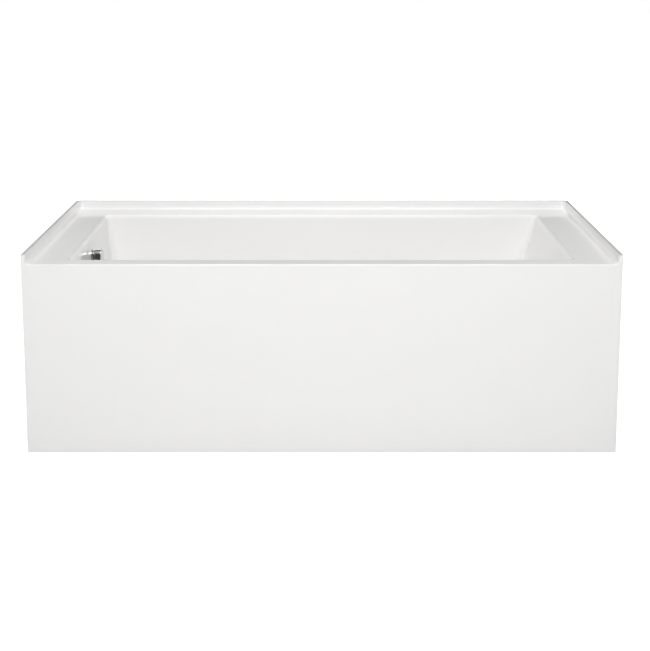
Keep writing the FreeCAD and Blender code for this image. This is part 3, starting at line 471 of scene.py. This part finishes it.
tub = {
    "halfLength": 762.0, "halfWidth": 406.4, "rim": 498.0, "floor": 112.0, "sheet": 5.0,
    "basinX": (-649.0, 646.0), "basinY": (-341.4, 287.6),
    "drainTilt": 5.25, "backrestTilt": 14.5, "sideTilt": 5.0,
    "topCorner": 14.0, "floorCorner": 60.0, "floorFillet": 45.0, "rimRoll": 12.0,
    "drain": (-512.0, -26.9), "floorFall": 0.01, "drainHole": 25.2, "holeMargin": 4.0,
    "dishDepth": 6.0, "dishRadius": 44.0, "dishSlope": 16.0, "dishRound": 1.2, "dishFootRound": 4.0,
    "dishClearance": 0.3, "edgeStep": 0.8,
    "flangeHeight": 25.4, "flangeThickness": 10.0, "flangeCorner": 14.0, "flangeCove": 12.0,
    "flangeTopRound": 1.5, "frontRound": 7.0, "noseRound": 3.0,
    "lipDrop": 12.0, "lipReturn": 40.0, "lipStep": 0.5,
}
halfLength, halfWidth, rim, sheet = (tub[key] for key in ("halfLength", "halfWidth", "rim", "sheet"))
# steps of each run, and the shares of the way at which the loops of some runs lie
count = {"corner": 12, "front": 96, "side": 44, "nose": 8, "cove": 8, "top": 4, "roll": 8, "wall": 18,
         "fillet": 14, "dish": 6, "rounds": 4}
shares = {
    "deck": (0, 0.015, 0.2, 0.4, 0.6, 0.8, 0.985),
    "floor": (0.01, 0.03, 0.08, 0.16, 0.26, 0.38, 0.5, 0.62, 0.74, 0.84, 0.92, 0.97, 0.99),
    "flangeTop": (0.08, 0.5, 0.92), "face": (0, 0.12, 0.5, 1), "underDeck": (0, 0.3, 0.65),
}


def loopStations():
    # stations round the basin, anticlockwise from the middle of the front left corner: two
    # corner numbers, the share of the way between them, and the direction the outline faces.
    # A corner turns by equal angles, and the wall after it is cut into equal shares.
    corner, front, side = count["corner"], count["front"], count["side"]
    runs = [(0, 225, 270, corner // 2, 1, front), (1, 270, 360, corner, 2, side),
            (2, 0, 90, corner, 3, front), (3, 90, 180, corner, 0, side), (0, 180, 225, corner // 2, 0, 1)]
    parts = []
    for here, low, high, steps, after, wallSteps in runs:
        turn, share = spaced(low, high, steps), spaced(0, 1, wallSteps)[1:-1]
        parts.append(np.broadcast_arrays(here, here, 0.0, turn))
        parts.append(np.broadcast_arrays(here, after, share, high))
    return np.concatenate(parts, axis=1)[:, :-1]


stations = loopStations()
fromCorner, toCorner = stations[:2].astype(int)
alongWall, facing = stations[2], np.radians(stations[3])
outward = planLine(np.cos(facing), np.sin(facing))
cornerSigns = np.array([(-1, -1), (1, -1), (1, 1), (-1, 1)], float)


def sectionPoints(drop, offset):
    # the basin's level outline a drop below the rim, grown by an offset square to the walls: a
    # wall moves in by drop * tan(tilt) and out by offset / cos(tilt), and the corner radius
    # grows evenly with the drop
    drop = np.broadcast_to(np.asarray(drop, float), facing.shape)

    def lean(tilt):
        slope = math.radians(tub[tilt])
        return drop * math.tan(slope) - offset / math.cos(slope)

    low = planLine(tub["basinX"][0] + lean("drainTilt"), tub["basinY"][0] + lean("sideTilt"))
    high = planLine(tub["basinX"][1] - lean("backrestTilt"), tub["basinY"][1] - lean("sideTilt"))
    growth = (tub["floorCorner"] - tub["topCorner"]) / (rim - tub["floor"])
    radius = (tub["topCorner"] + growth * drop + offset)[:, None]

    def arcPoints(corners):
        signs = cornerSigns[corners]
        return np.where(signs > 0, high, low) - signs * radius + outward * radius

    share = alongWall[:, None]
    return arcPoints(fromCorner) * (1 - share) + arcPoints(toCorner) * share


def floorLevel(x, offset):
    # the floor rises evenly away from the drain
    return tub["floor"] + tub["floorFall"] * (x - tub["drain"][0]) - offset


def wallLoops(offset, roll, wallSteps=count["wall"]):
    # loops from the rim down to the floor: the roll over the rim, the straight wall, and the
    # fillet of a ball that touches wall and floor. Each round is its centre line plus
    # outward * radius * cos(turn) at a drop of radius * sin(turn).
    span = 100.0
    tilt = np.arctan(((sectionPoints(0, offset) - sectionPoints(span, offset)) * outward).sum(-1) / span)
    loops = []
    if roll > 0:
        startDrop = roll * (1 - np.sin(tilt))
        centre = sectionPoints(startDrop, offset) + outward * (roll * np.cos(tilt))[:, None]
        for share in spaced(0, 1, count["roll"]):
            turn = share * (math.pi / 2 - tilt)
            plan = centre - outward * (roll * np.sin(turn))[:, None]
            loops.append(asLoop(plan, rim - roll * (1 - np.cos(turn))))
    else:
        startDrop = np.full(len(tilt), offset)
        loops.append(asLoop(sectionPoints(startDrop, offset), rim - startDrop))
    radius = tub["floorFillet"] + offset
    centre = sectionPoints(rim - tub["floor"], offset)
    for _ in range(count["rounds"]):  # the ball's place settles in a few rounds
        centreDrop = rim - floorLevel(centre[:, 0], offset) - radius
        endDrop = centreDrop + radius * np.sin(tilt)
        centre = sectionPoints(endDrop, offset) - outward * (radius * np.cos(tilt))[:, None]
    for share in spaced(0, 1, wallSteps)[1:-1]:
        drop = startDrop + (endDrop - startDrop) * share
        loops.append(asLoop(sectionPoints(drop, offset), rim - drop))
    for share in spaced(0, 1, count["fillet"]):
        turn = tilt + share * (math.pi / 2 - tilt)
        plan = centre + outward * (radius * np.cos(turn))[:, None]
        loops.append(asLoop(plan, rim - centreDrop - radius * np.sin(turn)))
    return loops


def drainLoops(wallFoot, offset):
    # loops from the foot of the walls across the sloping floor and down the dish to the drain's
    # hole: floor, slope and dish are straight lines, with parabolas where they meet
    centre = np.array(tub["drain"])
    away = wallFoot[:, :2] - centre
    toward, distance = unit(away), np.hypot(away[:, 0], away[:, 1])
    # at the hole every face of the shell uses the same directions, so that they meet there
    final = unit(wallLoops(0.0, 0.0)[-1][:, :2] - centre)
    rounding, footRound, hole = tub["dishRound"], tub["dishFootRound"], tub["drainHole"]
    dishEdge = tub["dishRadius"] + tub["dishSlope"] + offset
    outer = np.minimum(dishEdge + rounding, distance - tub["dishClearance"])
    steep = tub["dishDepth"] / tub["dishSlope"]
    low = tub["floor"] - tub["dishDepth"] - offset
    dishFoot = tub["dishRadius"] + offset
    loops = []
    for share in shares["floor"]:
        plan = centre + toward * (distance + (outer - distance) * share)[:, None]
        loops.append(asLoop(plan, floorLevel(plan[:, 0], offset)))
    for share in spaced(0, 1, count["dish"]):
        reach = outer + (dishEdge - rounding - outer) * share
        plan = centre + toward * reach[:, None]
        sunk = steep * (rounding - (reach - dishEdge)) ** 2 / (4 * rounding)
        loops.append(asLoop(plan, floorLevel(plan[:, 0], offset) - sunk))
    for share in spaced(0, 1, count["dish"]):
        reach = dishFoot + footRound - 2 * footRound * share
        heading = unit(toward * (1 - share) + final * share)
        raised = steep * (reach - dishFoot + footRound) ** 2 / (4 * footRound)
        loops.append(asLoop(centre + heading * reach, low + raised))
    for reach in (dishFoot - 2 * footRound, hole + tub["holeMargin"], hole):
        loops.append(asLoop(centre + final * reach, low))
    return loops


def deckEdge():
    # the rectangle that the deck's flat part ends on, at the foot of the cove and of the front
    # round, station by station: straight runs, with a small arc at the two back corners
    half, thickness, cove = count["corner"] // 2, tub["flangeThickness"], tub["flangeCove"]
    small = tub["flangeCorner"] - cove
    x, y0 = halfLength - thickness - cove, tub["frontRound"] - halfWidth
    y1 = halfWidth - thickness - cove - small
    lipEnd = tub["lipReturn"] - halfWidth
    pastLip, besideBasin = lipEnd + tub["lipStep"], tub["basinY"][0] + tub["topCorner"]
    upRight = np.concatenate([
        spaced(y0, lipEnd, half // 2), spaced(pastLip, besideBasin, half - half // 2 - 1),
        spaced(besideBasin, y1, count["side"])[1:]])
    frontX = spaced(-x, x, count["front"] + 2 * half)
    backX = spaced(x - small, small - x, count["front"])
    turn = angles(0, 90, count["corner"])
    arc = planLine(x - small + small * np.cos(turn), y1 + small * np.sin(turn))
    runs = [planLine(frontX, y0), planLine(x, upRight), arc, planLine(backX, y1 + small),
            arc[::-1] * (-1, 1), planLine(-x, upRight[::-1])]
    return np.concatenate([run[:-1] for run in runs]), frontX, upRight, turn


def flangeBand(upRight, turn):
    # the tile flange from the right front nose round the back to the left one. Rows run from
    # the deck up the cove and inner face, over the top and down the outer face; each round is
    # its centre line plus the radius times sine and cosine of the angle.
    inner, innerBack = halfLength - tub["flangeThickness"], halfWidth - tub["flangeThickness"]
    radius, front, nose = tub["flangeCorner"], tub["frontRound"], tub["noseRound"]
    bend = angles(90, 0, count["nose"])
    cosine, sine = np.cos(bend), np.sin(bend)
    sideY, arcOut = upRight[1:], planLine(np.cos(turn), np.sin(turn))[1:]
    backX = spaced(inner - radius, radius - inner, count["front"])[1:]
    wide = (halfLength - radius) / (inner - radius)

    def whole(noseRun, sideRun, arcRun, backRun, flip=(-1.0, 1.0)):
        half = np.concatenate([noseRun, sideRun, arcRun])
        return np.concatenate([half, backRun[:-1], half[::-1] * flip])

    # foot of the inner face, outer face, their directions and how far the nose sinks
    inwards, backInwards = planLine(-1.0, 0 * sideY), planLine(0 * backX, -1.0)
    base = whole(planLine(inner, front * (1 - sine) - halfWidth), planLine(inner, sideY),
                 (inner - radius, innerBack - radius) + radius * arcOut, planLine(backX, innerBack))
    across = whole(planLine(-1.0, 0 * bend), inwards, -arcOut, backInwards)
    air = whole(planLine(-cosine, -sine), inwards, -arcOut, backInwards)
    outerLine = whole(planLine(halfLength - nose + nose * cosine, nose - halfWidth - nose * sine),
                      planLine(halfLength, sideY),
                      (halfLength - radius, halfWidth - radius) + radius * arcOut,
                      planLine(backX * wide, halfWidth))
    out = whole(planLine(cosine, -sine), -inwards, arcOut, -backInwards)
    sunk = whole(front * (1 - cosine)[:, None], 0 * sideY[:, None], 0 * arcOut[:, :1],
                 0 * backX[:, None], flip=1.0)

    cove, edge, step = tub["flangeCove"], tub["flangeTopRound"], tub["edgeStep"]
    top, knee = rim + tub["flangeHeight"], rim + cove
    rows = []
    for angle in angles(0, 90, count["cove"]):
        plan = base + across * (cove - cove * math.sin(angle) - sunk * math.sin(angle))
        rows.append(asLoop(plan, knee - cove * math.cos(angle) - sunk[:, 0] * math.cos(angle)))
    face = base - across * sunk
    rows += [asLoop(face, z) for z in (knee + step, top - edge - step, top - edge)]
    turns = angles(0, 90, count["top"])

    def topRound(line, away, turns):
        return [asLoop(line - away * edge * (1 - math.cos(angle)), top - edge + edge * math.sin(angle))
                for angle in turns]

    insideTop, outsideTop = face - air * edge, outerLine - out * edge
    rows += topRound(face, air, turns[1:])
    rows += [asLoop(insideTop + (outsideTop - insideTop) * share, top) for share in shares["flangeTop"]]
    rows += topRound(outerLine, out, angles(90, 0, count["top"]))
    lipEnd = tub["lipReturn"] - halfWidth + tub["lipStep"] / 2
    bottom = np.where(outerLine[:, 1] < lipEnd, rim - tub["lipDrop"], rim - sheet)
    rows += [asLoop(outerLine, z) for z in (top - edge - step, knee + step, knee)]
    for share in spaced(0, 1, count["cove"])[1:]:
        rows.append(asLoop(outerLine, knee + (bottom - knee) * share))
    return np.stack(rows), bottom


def undersideLoops(edgeLength, frontX, bandFoot, bottom, bottomLine):
    # the foot of lip and flange, the same outline a sheet further in, the deck's underside, then
    # the basin's outside down to the drain. The outline moves in square to itself: away from the
    # nearest point of the rectangle of corner centres.
    noses = count["nose"]
    lipZ, deckZ = rim - tub["lipDrop"], rim - sheet
    corner = np.array((halfLength - sheet, sheet - halfWidth))
    sideInner = bandFoot[:, :2].copy()
    sideInner[:noses + 1], sideInner[-noses - 1:] = corner, corner * (-1, 1)
    plan = sideInner[noses + 1:-noses - 1]
    centreX, centreY = halfLength - tub["flangeCorner"], halfWidth - tub["flangeCorner"]
    away = plan - planLine(np.clip(plan[:, 0], -centreX, centreX), np.minimum(plan[:, 1], centreY))
    plan -= unit(away) * sheet
    frontInner = planLine(frontX * (corner[0] / frontX[-1]), corner[1])
    innerPlan = np.concatenate([frontInner[:-1], sideInner[:-1]])
    innerZ = np.concatenate([np.full(len(frontInner) - 1, lipZ), bottom[:-1]])
    # past the lip the deck starts a little further in, so that no two loops lie on each other
    atDeck = np.where((innerZ < lipZ + 1)[:, None], innerPlan, innerPlan * 0.999)
    last = len(frontX) - 1
    toStation = np.concatenate([np.arange(last), np.full(noses, last), np.arange(last, edgeLength),
                                np.zeros(noses, int)])[:len(innerPlan)]
    walls = wallLoops(sheet, 0.0)
    ring = walls[0][:, :2][toStation]
    under = [np.concatenate([bottomLine[:-1], bandFoot[:-1]]), asLoop(innerPlan, innerZ)]
    under += [asLoop(atDeck + (ring - atDeck) * share, deckZ) for share in shares["underDeck"]]
    return under + [loop[toStation] for loop in walls + drainLoops(walls[-1], sheet)]


def tubShellPatches():
    # the deck in straight shares from its edge to the rim, walls, floor and hole; the flange;
    # the round along the front and the flat below it to the lip's foot; and the underside
    edge, frontX, upRight, turn = deckEdge()
    front = tub["frontRound"]
    walls = wallLoops(0.0, tub["rimRoll"])
    deck = [asLoop(edge + (walls[0][:, :2] - edge) * share, rim) for share in shares["deck"]]
    floor = drainLoops(walls[-1], 0.0)
    upper = deck + walls + floor + [floor[-1] - (0, 0, sheet)]
    band, bottom = flangeBand(upRight, turn)
    bend = angles(0, 90, count["nose"])
    roundRows = [asLoop(planLine(frontX, front * (1 - math.sin(angle)) - halfWidth),
                        rim - front * (1 - math.cos(angle))) for angle in bend]
    # the face runs from the round and the flange's inner tips down to its outer tips and the lip
    tipRight, tipLeft, tipRows = band[:, 0], band[:, -1], count["cove"] + 3
    above = np.concatenate([tipLeft[tipRows:0:-1], roundRows[-1], tipRight[1:tipRows + 1]])
    outerRight, outerLeft = tipRight[-1 - tipRows:], tipLeft[-1 - tipRows:]
    bottomX = frontX * (outerRight[-1][0] / frontX[-1])
    bottomLine = asLoop(planLine(bottomX, -halfWidth), rim - tub["lipDrop"])
    below = np.concatenate([outerLeft[:-1], bottomLine, outerRight[-2::-1]])
    face = [above + (below - above) * share for share in shares["face"]]
    under = undersideLoops(len(edge), frontX, band[-1], bottom, bottomLine)
    return [gridPatch(upper, closed=True), gridPatch(band), gridPatch(roundRows), gridPatch(face),
            gridPatch(under, closed=True)]


overflow = {"centre": (-640.0, -26.9, 426.0), "radius": 28.5, "length": 60.0}
tubShell = makePiece("tubShell", tubShellPatches(), acrylic)
cutRound(tubShell, **overflow)
fit(tubShell, "tub", "acrylic", "tub_shell")

print("scene: skirt")

skirt = {"top": 486.0, "sheet": 5.0, "footReturn": 25.0, "cornerRound": 3.0, "footRound": 1.2,
         "edgeStep": 1.5, "steps": 40, "bendSteps": 8, "footSteps": 4,
         # rows of the end returns, back from the front; the foot's return ends between two
         "returnRows": (40.0, 33.0, 25.1, 25.0, 16.0, 8.0)}


def skirtPatches():
    # the skirt's cross-section carried round its plan: left return, front, right return. Rows go
    # down the outside, round the foot and up the inside; a cap closes each end.
    half, front, mirror = halfLength, -halfWidth, (-1, 1)
    sheet, top, foot, small, radius = (
        skirt[key] for key in ("sheet", "top", "footReturn", "footRound", "cornerRound"))
    bend = angles(0, 90, skirt["bendSteps"])
    frontX = spaced(radius - half, half - radius, skirt["steps"])[1:-1]
    left = planLine(-half, np.array(skirt["returnRows"]) + front)
    turned = planLine(-np.cos(bend), -np.sin(bend))
    arc = (radius - half, front + radius) + radius * turned
    outer = np.concatenate([left, arc, planLine(frontX, front), arc[::-1] * mirror, left[::-1] * mirror])
    out = np.concatenate([0 * left + (-1, 0), turned, planLine(0 * frontX, -1.0), turned[::-1] * mirror,
                          0 * left + (1, 0)])
    innerX = np.clip(outer[:, 0], sheet - half, half - sheet)
    inner = planLine(innerX, np.maximum(outer[:, 1], front + sheet))
    footLine = planLine(innerX, np.maximum(outer[:, 1], front + foot))
    levels = [top, top - skirt["edgeStep"], top / 2, sheet + skirt["edgeStep"], sheet]
    outside = [asLoop(outer, z) for z in levels]
    for angle in angles(0, 90, skirt["footSteps"]):
        plan = outer - out * small * (1 - math.cos(angle))
        outside.append(asLoop(plan, small - small * math.sin(angle)))
    under = [asLoop(footLine, 0.0), asLoop(footLine, sheet)]
    inside = [asLoop(inner, z) for z in levels]
    patches = [gridPatch(outside + under + inside[::-1] + outside[:1])]
    for end in (0, -1):
        within = [row[end] for row in inside] + [under[0][end]] * (len(outside) - len(inside))
        patches.append(gridPatch([[row[end] for row in outside], within]))
    return patches


apronPanel = makePiece("apronPanel", skirtPatches(), acrylic)
fit(apronPanel, "tub", "acrylic", "apron_panel")

print("scene: glass-fibre backing")

backing = {
    "inside": 5.3, "outside": 9.3, "edge": 5.3, "backLimit": 0.3, "wallSteps": 34, "smoothAngle": 50.0,
    "lump": 0.55, "lumpLength": 62.0, "waves": 14, "waveSpread": (0.6, 1.7), "hullSeed": 5,
    "skirtLump": 0.9, "skirtTop": 488.4, "skirtBack": -397.4, "skirtSteps": (190, 60), "skirtSeed": 8,
    "deckShares": (0, 0.06, 0.14, 0.24, 0.36, 0.48, 0.6, 0.72, 0.84, 0.94),
    # rows left smooth at the plate's edge and round the drain, and the share on the row between
    "smoothStart": 2, "smoothEnd": 10, "firstLump": 0.4, "probe": (20, 40), "middleHeight": 300,
}


def lumps(points, seed):
    # an uneven surface: waves of about one length in seeded directions, added up, so that it
    # runs on over every seam
    rng = np.random.default_rng(seed)
    total = np.zeros(points.shape[:-1])
    for _ in range(backing["waves"]):
        heading = rng.normal(size=3)
        heading /= np.linalg.norm(heading)
        wave = backing["lumpLength"] * rng.uniform(*backing["waveSpread"])
        total += np.sin(points @ heading * (2 * math.pi / wave) + rng.uniform(0, 2 * math.pi))
    return total / backing["waves"] ** 0.5


def gridNormals(rows):
    # unit normals of a closed grid from its neighbours along both ways
    along = np.gradient(rows, axis=0)
    across = np.roll(rows, -1, axis=1) - np.roll(rows, 1, axis=1)
    normals = np.cross(along, across)
    return normals / np.maximum(np.linalg.norm(normals, axis=-1, keepdims=True), 1e-9)


def hullBackingPatches():
    # glass fibre under the deck and round the basin, between the offsets outside and inside: in
    # from the plate's edge to the drain on the outside, where lumps push it out along its
    # normals, and back out again on the inside
    edge = deckEdge()[0]
    reachX, backY = halfLength - backing["edge"], halfWidth - backing["backLimit"]
    frontY = backing["edge"] - halfWidth
    low, high = edge.min(0), edge.max(0)
    plan = (edge - low) / (high - low) * (2 * reachX, backY - frontY) + (-reachX, frontY)

    def layer(offset):
        walls = wallLoops(offset, 0.0, backing["wallSteps"])
        deck = [asLoop(plan + (walls[0][:, :2] - plan) * share, rim - offset)
                for share in backing["deckShares"]]
        return deck + walls + drainLoops(walls[-1], offset)

    inside = layer(backing["inside"])
    outside = np.stack(inside[:1] + layer(backing["outside"]))
    normals, probe = gridNormals(outside), backing["probe"]
    away = np.sign(normals[probe] @ (outside[probe] - (0, tub["drain"][1], backing["middleHeight"])))
    fade = np.ones(len(outside))
    fade[:backing["smoothStart"]], fade[-backing["smoothEnd"]:] = 0, 0
    fade[backing["smoothStart"]] = backing["firstLump"]
    height = lumps(outside, backing["hullSeed"]) * backing["lump"] * fade[:, None]
    outside = outside + normals * away * height[..., None]
    return [gridPatch(np.concatenate([outside, np.stack(inside[::-1])]), closed=True)]


def skirtBackingPatches():
    # glass fibre on the back of the skirt: flat against the sheet in front, lumpy behind
    reach = halfLength - backing["edge"]
    wide, tall = backing["skirtSteps"]
    x, z = np.meshgrid(spaced(-reach, reach, wide), spaced(skirt["sheet"], backing["skirtTop"], tall))
    front = np.stack([x, np.full_like(x, skirt["sheet"] - halfWidth), z], -1)
    back = np.stack([x, np.full_like(x, backing["skirtBack"]), z], -1)
    back[..., 1] -= np.abs(lumps(back, backing["skirtSeed"])) * backing["skirtLump"]
    edges = [(front[take], back[take]) for take in (np.s_[0], np.s_[-1], np.s_[:, 0], np.s_[:, -1])]
    return [gridPatch(rows) for rows in (front, back, *edges)]


hullBacking = makePiece("hullBacking", hullBackingPatches(), glassFibre, backing["smoothAngle"])
cutRound(hullBacking, **overflow)
fit(hullBacking, "tub", "glass_fibre", "shell_laminate")
skirtBacking = makePiece("skirtBacking", skirtBackingPatches(), glassFibre, backing["smoothAngle"])
fit(skirtBacking, "tub", "glass_fibre", "apron_laminate")

print("scene: timber and pads")

boards = {
    "ease": 1.4, "steps": 3, "smoothAngle": 60.0, "padEase": 2.2, "padSize": 60.0, "padsInRow": 3,
    # number, pitch, width and ease of equal boards along X
    "rows": {"apron_ribs": (5, 300.0, 12.0, 0.5), "apron_braces": (3, 470.0, 38.0, 1.4)},
}


def easedBox(low, high, ease):
    # a board with rounded edges: over each of its six faces the normal turns from the face's own
    # to halfway round the edge, and a point is the inner box's corner plus ease times the normal
    turn = np.radians(np.concatenate([spaced(-45, 0, boards["steps"]), spaced(0, 45, boards["steps"])]))
    side = np.repeat([-1.0, 1.0], boards["steps"] + 1)
    centre, half = (np.array(low) + high) / 2, (np.array(high) - low) / 2 - ease
    patches = []
    for axis in range(3):
        b, c = (axis + 1) % 3, (axis + 2) % 3
        for sign in (-1.0, 1.0):
            normal = np.empty((len(turn), len(turn), 3))
            corner = np.empty_like(normal)
            normal[..., axis], normal[..., b], normal[..., c] = sign, np.tan(turn)[:, None], np.tan(turn)
            corner[..., axis], corner[..., b], corner[..., c] = sign, side[:, None], side
            normal /= np.linalg.norm(normal, axis=-1, keepdims=True)
            patches.append(gridPatch(centre + corner * half + normal * ease))
    return patches


def boardPatches(node):
    # a node's eased boxes: one, equal ones at a pitch along X, or pads in two rows
    low, high = (np.array(corner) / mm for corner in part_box(node))
    ease, boxes = boards["ease"], [(low, high)]
    if node in boards["rows"]:
        number, pitch, width, ease = boards["rows"][node]
        starts = low[0] + pitch * np.arange(number)
        boxes = [((x, *low[1:]), (x + width, *high[1:])) for x in starts]
    elif node == "foot_pads":
        ease, size = boards["padEase"], boards["padSize"]
        boxes = [((x, y, low[2]), (x + size, y + size, high[2]))
                 for x in spaced(low[0], high[0] - size, boards["padsInRow"] - 1)
                 for y in (low[1], high[1] - size)]
    return [patch for box in boxes for patch in easedBox(*box, ease)]


for name, node, slot, finish in (
        ("frontBatten", "front_batten", "timber", timberLong),
        ("backBatten", "back_batten", "timber", timberLong),
        ("drainEndBatten", "drain_end_batten", "timber", timberAcross),
        ("backrestEndBatten", "backrest_end_batten", "timber", timberAcross),
        ("skirtBottomRail", "apron_bottom_rail", "timber", timberLong),
        ("skirtRibs", "apron_ribs", "plywood", ribPlywood),
        ("floorBraces", "apron_braces", "timber", timberAcross),
        ("footPads", "foot_pads", "pad_rubber", moulded["padRubber"])):
    fit(makePiece(name, boardPatches(node), finish, boards["smoothAngle"]), "tub", slot, node)

print("scene: finishes of the fittings")

nodeFinishes = (
    (boardPlywood, "base_board"),
    (timberLong, "base_runners"),
    (moulded["chromePlate"], "overflow_escutcheon", "overflow_knob", "drain_flange", "stopper_cap"),
    (moulded["fittingPlastic"], "overflow_head", "head_cover", "waste_tee", "drain_shoe", "cable_yoke"),
    (moulded["nutPlastic"], "slip_nuts", "cable_clip"),
    (moulded["cablePlastic"], "cable_sheath"),
    (moulded["sealRubber"], "overflow_gasket", "spindle_seal", "shoe_gasket", "flange_gasket",
     "slip_washers", "stopper_seal"),
    (drawn["screwSteel"], "overflow_screws", "knob_set_screw"),
    (drawn["spindleBrass"], "knob_spindle", "lift_pin"),
    (drawn["uprightPipe"], "overflow_pipe", "tailpiece"),
    (drawn["levelPipe"], "shoe_pipe"),
)
for finish, *nodes in nodeFinishes:
    for node in nodes:
        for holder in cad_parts[node].material_slots:
            holder.material = finish

print("scene: floor, light and camera")

studio = {
    # the floor's glow is from near to far, and what the world reflects is a brightness from the
    # front to the back, less a share from the middle to the sides
    "floorSize": 60, "floorDrop": 0.0004, "floorColour": 0.8, "floorReflected": 0.4,
    "floorGlow": (1.4, 4, 0.75, 1), "worldSeen": 1, "worldLight": 0.18,
    "worldFrontToBack": (-0.2, 0.5, 0.12, 0.46), "worldMiddleToSides": (0.08, 0.22, 0.25, 1),
    # name, place, aim, size, watts, shown in reflections
    "lamps": [
        ("keyLamp", (0, -3.8, 2.2), (0, -0.3, 0.35), (2.4, 1.4), 68, False),
        ("highLamp", (0, -3.2, 3.4), (0, -0.2, 0.35), (2.4, 1.4), 45, False),
        ("topLamp", (0, 0.1, 2.2), (0, 0, 0.4), (1.4, 1), 12, True),
        ("wideLamp", (0, 0.2, 3.2), (0, 0, 0.4), (4, 1.2), 8.4, True),
        ("backLamp", (0, 3.2, 2.6), (0, 0.3, 0.4), (3, 1.2), 24, True),
        ("leftLamp", (-4.2, -0.9, 1.4), (0.5, 0, 0.4), (1.4, 0.8), 4, False),
        ("rightLamp", (4.2, -0.9, 1.4), (-0.5, 0, 0.4), (1.4, 0.8), 3, False),
        # below the rim, for the back and the ends alone
        ("lowBackLamp", (0, 4.2, 0.25), (0, 0.4, 0.25), (3, 0.3), 26, False),
        ("lowLeftLamp", (-4.6, 0.4, 0.25), (-0.8, 0.4, 0.25), (1.4, 0.3), 22, False),
        ("lowRightLamp", (4.6, 0.4, 0.25), (0.8, 0.4, 0.25), (1.4, 0.3), 22, False),
    ],
}


def makeFloor():
    # a white floor that still takes the tub's shadow: the camera sees it glow, a little less
    # near the tub, where the lamps make up the rest
    half, z = studio["floorSize"] / 2, -studio["floorDrop"]
    corners = [(-half, -half, z), (half, -half, z), (half, half, z), (-half, half, z)]
    mesh = bpy.data.meshes.new("studioFloor")
    mesh.from_pydata(corners, [], [(0, 1, 2, 3)])
    material, tree, place = nodeMaterial("studioFloor")
    away = vectorMath(tree, "LENGTH", place)
    glow = mapRange(tree, away, *studio["floorGlow"], interpolation_type="SMOOTHSTEP")
    path = addNode(tree, "LightPath").outputs
    seen = mathNode(tree, "MULTIPLY", path["Is Camera Ray"], glow)
    mirrored = mathNode(tree, "MULTIPLY", path["Is Glossy Ray"], studio["floorReflected"])
    emission = addNode(tree, "Emission", {"Strength": mathNode(tree, "ADD", seen, mirrored)})
    diffuse = addNode(tree, "BsdfDiffuse", {"Color": opaque((studio["floorColour"],) * 3)})
    total = addNode(tree, "AddShader", {0: diffuse.outputs[0], 1: emission.outputs[0]})
    addNode(tree, "OutputMaterial", {"Surface": total.outputs[0]})
    mesh.materials.append(material)
    addObject("studioFloor", mesh)


def makeWorld():
    # white behind the tub, a little light all round, and in reflections grey: darkest on the
    # camera's side and straight behind the tub
    world = bpy.data.worlds.new("studioWorld")
    tree = emptyTree(world)
    path = addNode(tree, "LightPath").outputs
    toward = apart(tree, addNode(tree, "TexCoord").outputs["Generated"])
    behind = mapRange(tree, toward[1], *studio["worldFrontToBack"])
    aside = mapRange(tree, mathNode(tree, "ABSOLUTE", toward[0]), *studio["worldMiddleToSides"])
    shine = mathNode(tree, "MULTIPLY", behind, aside)
    unseen = mixValues(tree, path["Is Glossy Ray"], studio["worldLight"], shine)
    strength = mixValues(tree, path["Is Camera Ray"], unseen, studio["worldSeen"])
    light = addNode(tree, "Background", {"Color": opaque((1, 1, 1)), "Strength": strength})
    addNode(tree, "OutputWorld", {"Surface": light.outputs[0]})
    bpy.context.scene.world = world


def makeLamps():
    for name, place, aim, size, power, mirrored in studio["lamps"]:
        light = bpy.data.lights.new(name, "AREA")
        light.shape = "RECTANGLE"
        light.size, light.size_y = size
        light.energy = power
        lamp = addObject(name, light)
        lamp.location = place
        lamp.visible_glossy = mirrored
        lamp.rotation_mode = "QUATERNION"
        lamp.rotation_quaternion = (Vector(aim) - Vector(place)).to_track_quat("-Z", "Y")


# focal length and sideways shift are in pixels of a picture frame pixels wide
view = {"focalPixels": 1381, "frame": 651, "sensor": 36, "place": (0.004, -3.8194, 1.25),
        "pitch": 10.09, "shiftPixels": 1.6, "shiftY": -0.18}


def makeCamera():
    data = bpy.data.cameras.new("viewCamera")
    data.sensor_width = view["sensor"]
    data.lens = view["sensor"] * view["focalPixels"] / view["frame"]
    data.shift_x, data.shift_y = view["shiftPixels"] / view["frame"], view["shiftY"]
    camera = addObject("viewCamera", data)
    camera.location = view["place"]
    camera.rotation_euler = (math.radians(90 - view["pitch"]), 0, 0)
    bpy.context.scene.camera = camera


makeFloor()
makeWorld()
makeLamps()
makeCamera()
bpy.context.scene.view_settings.view_transform = "Standard"
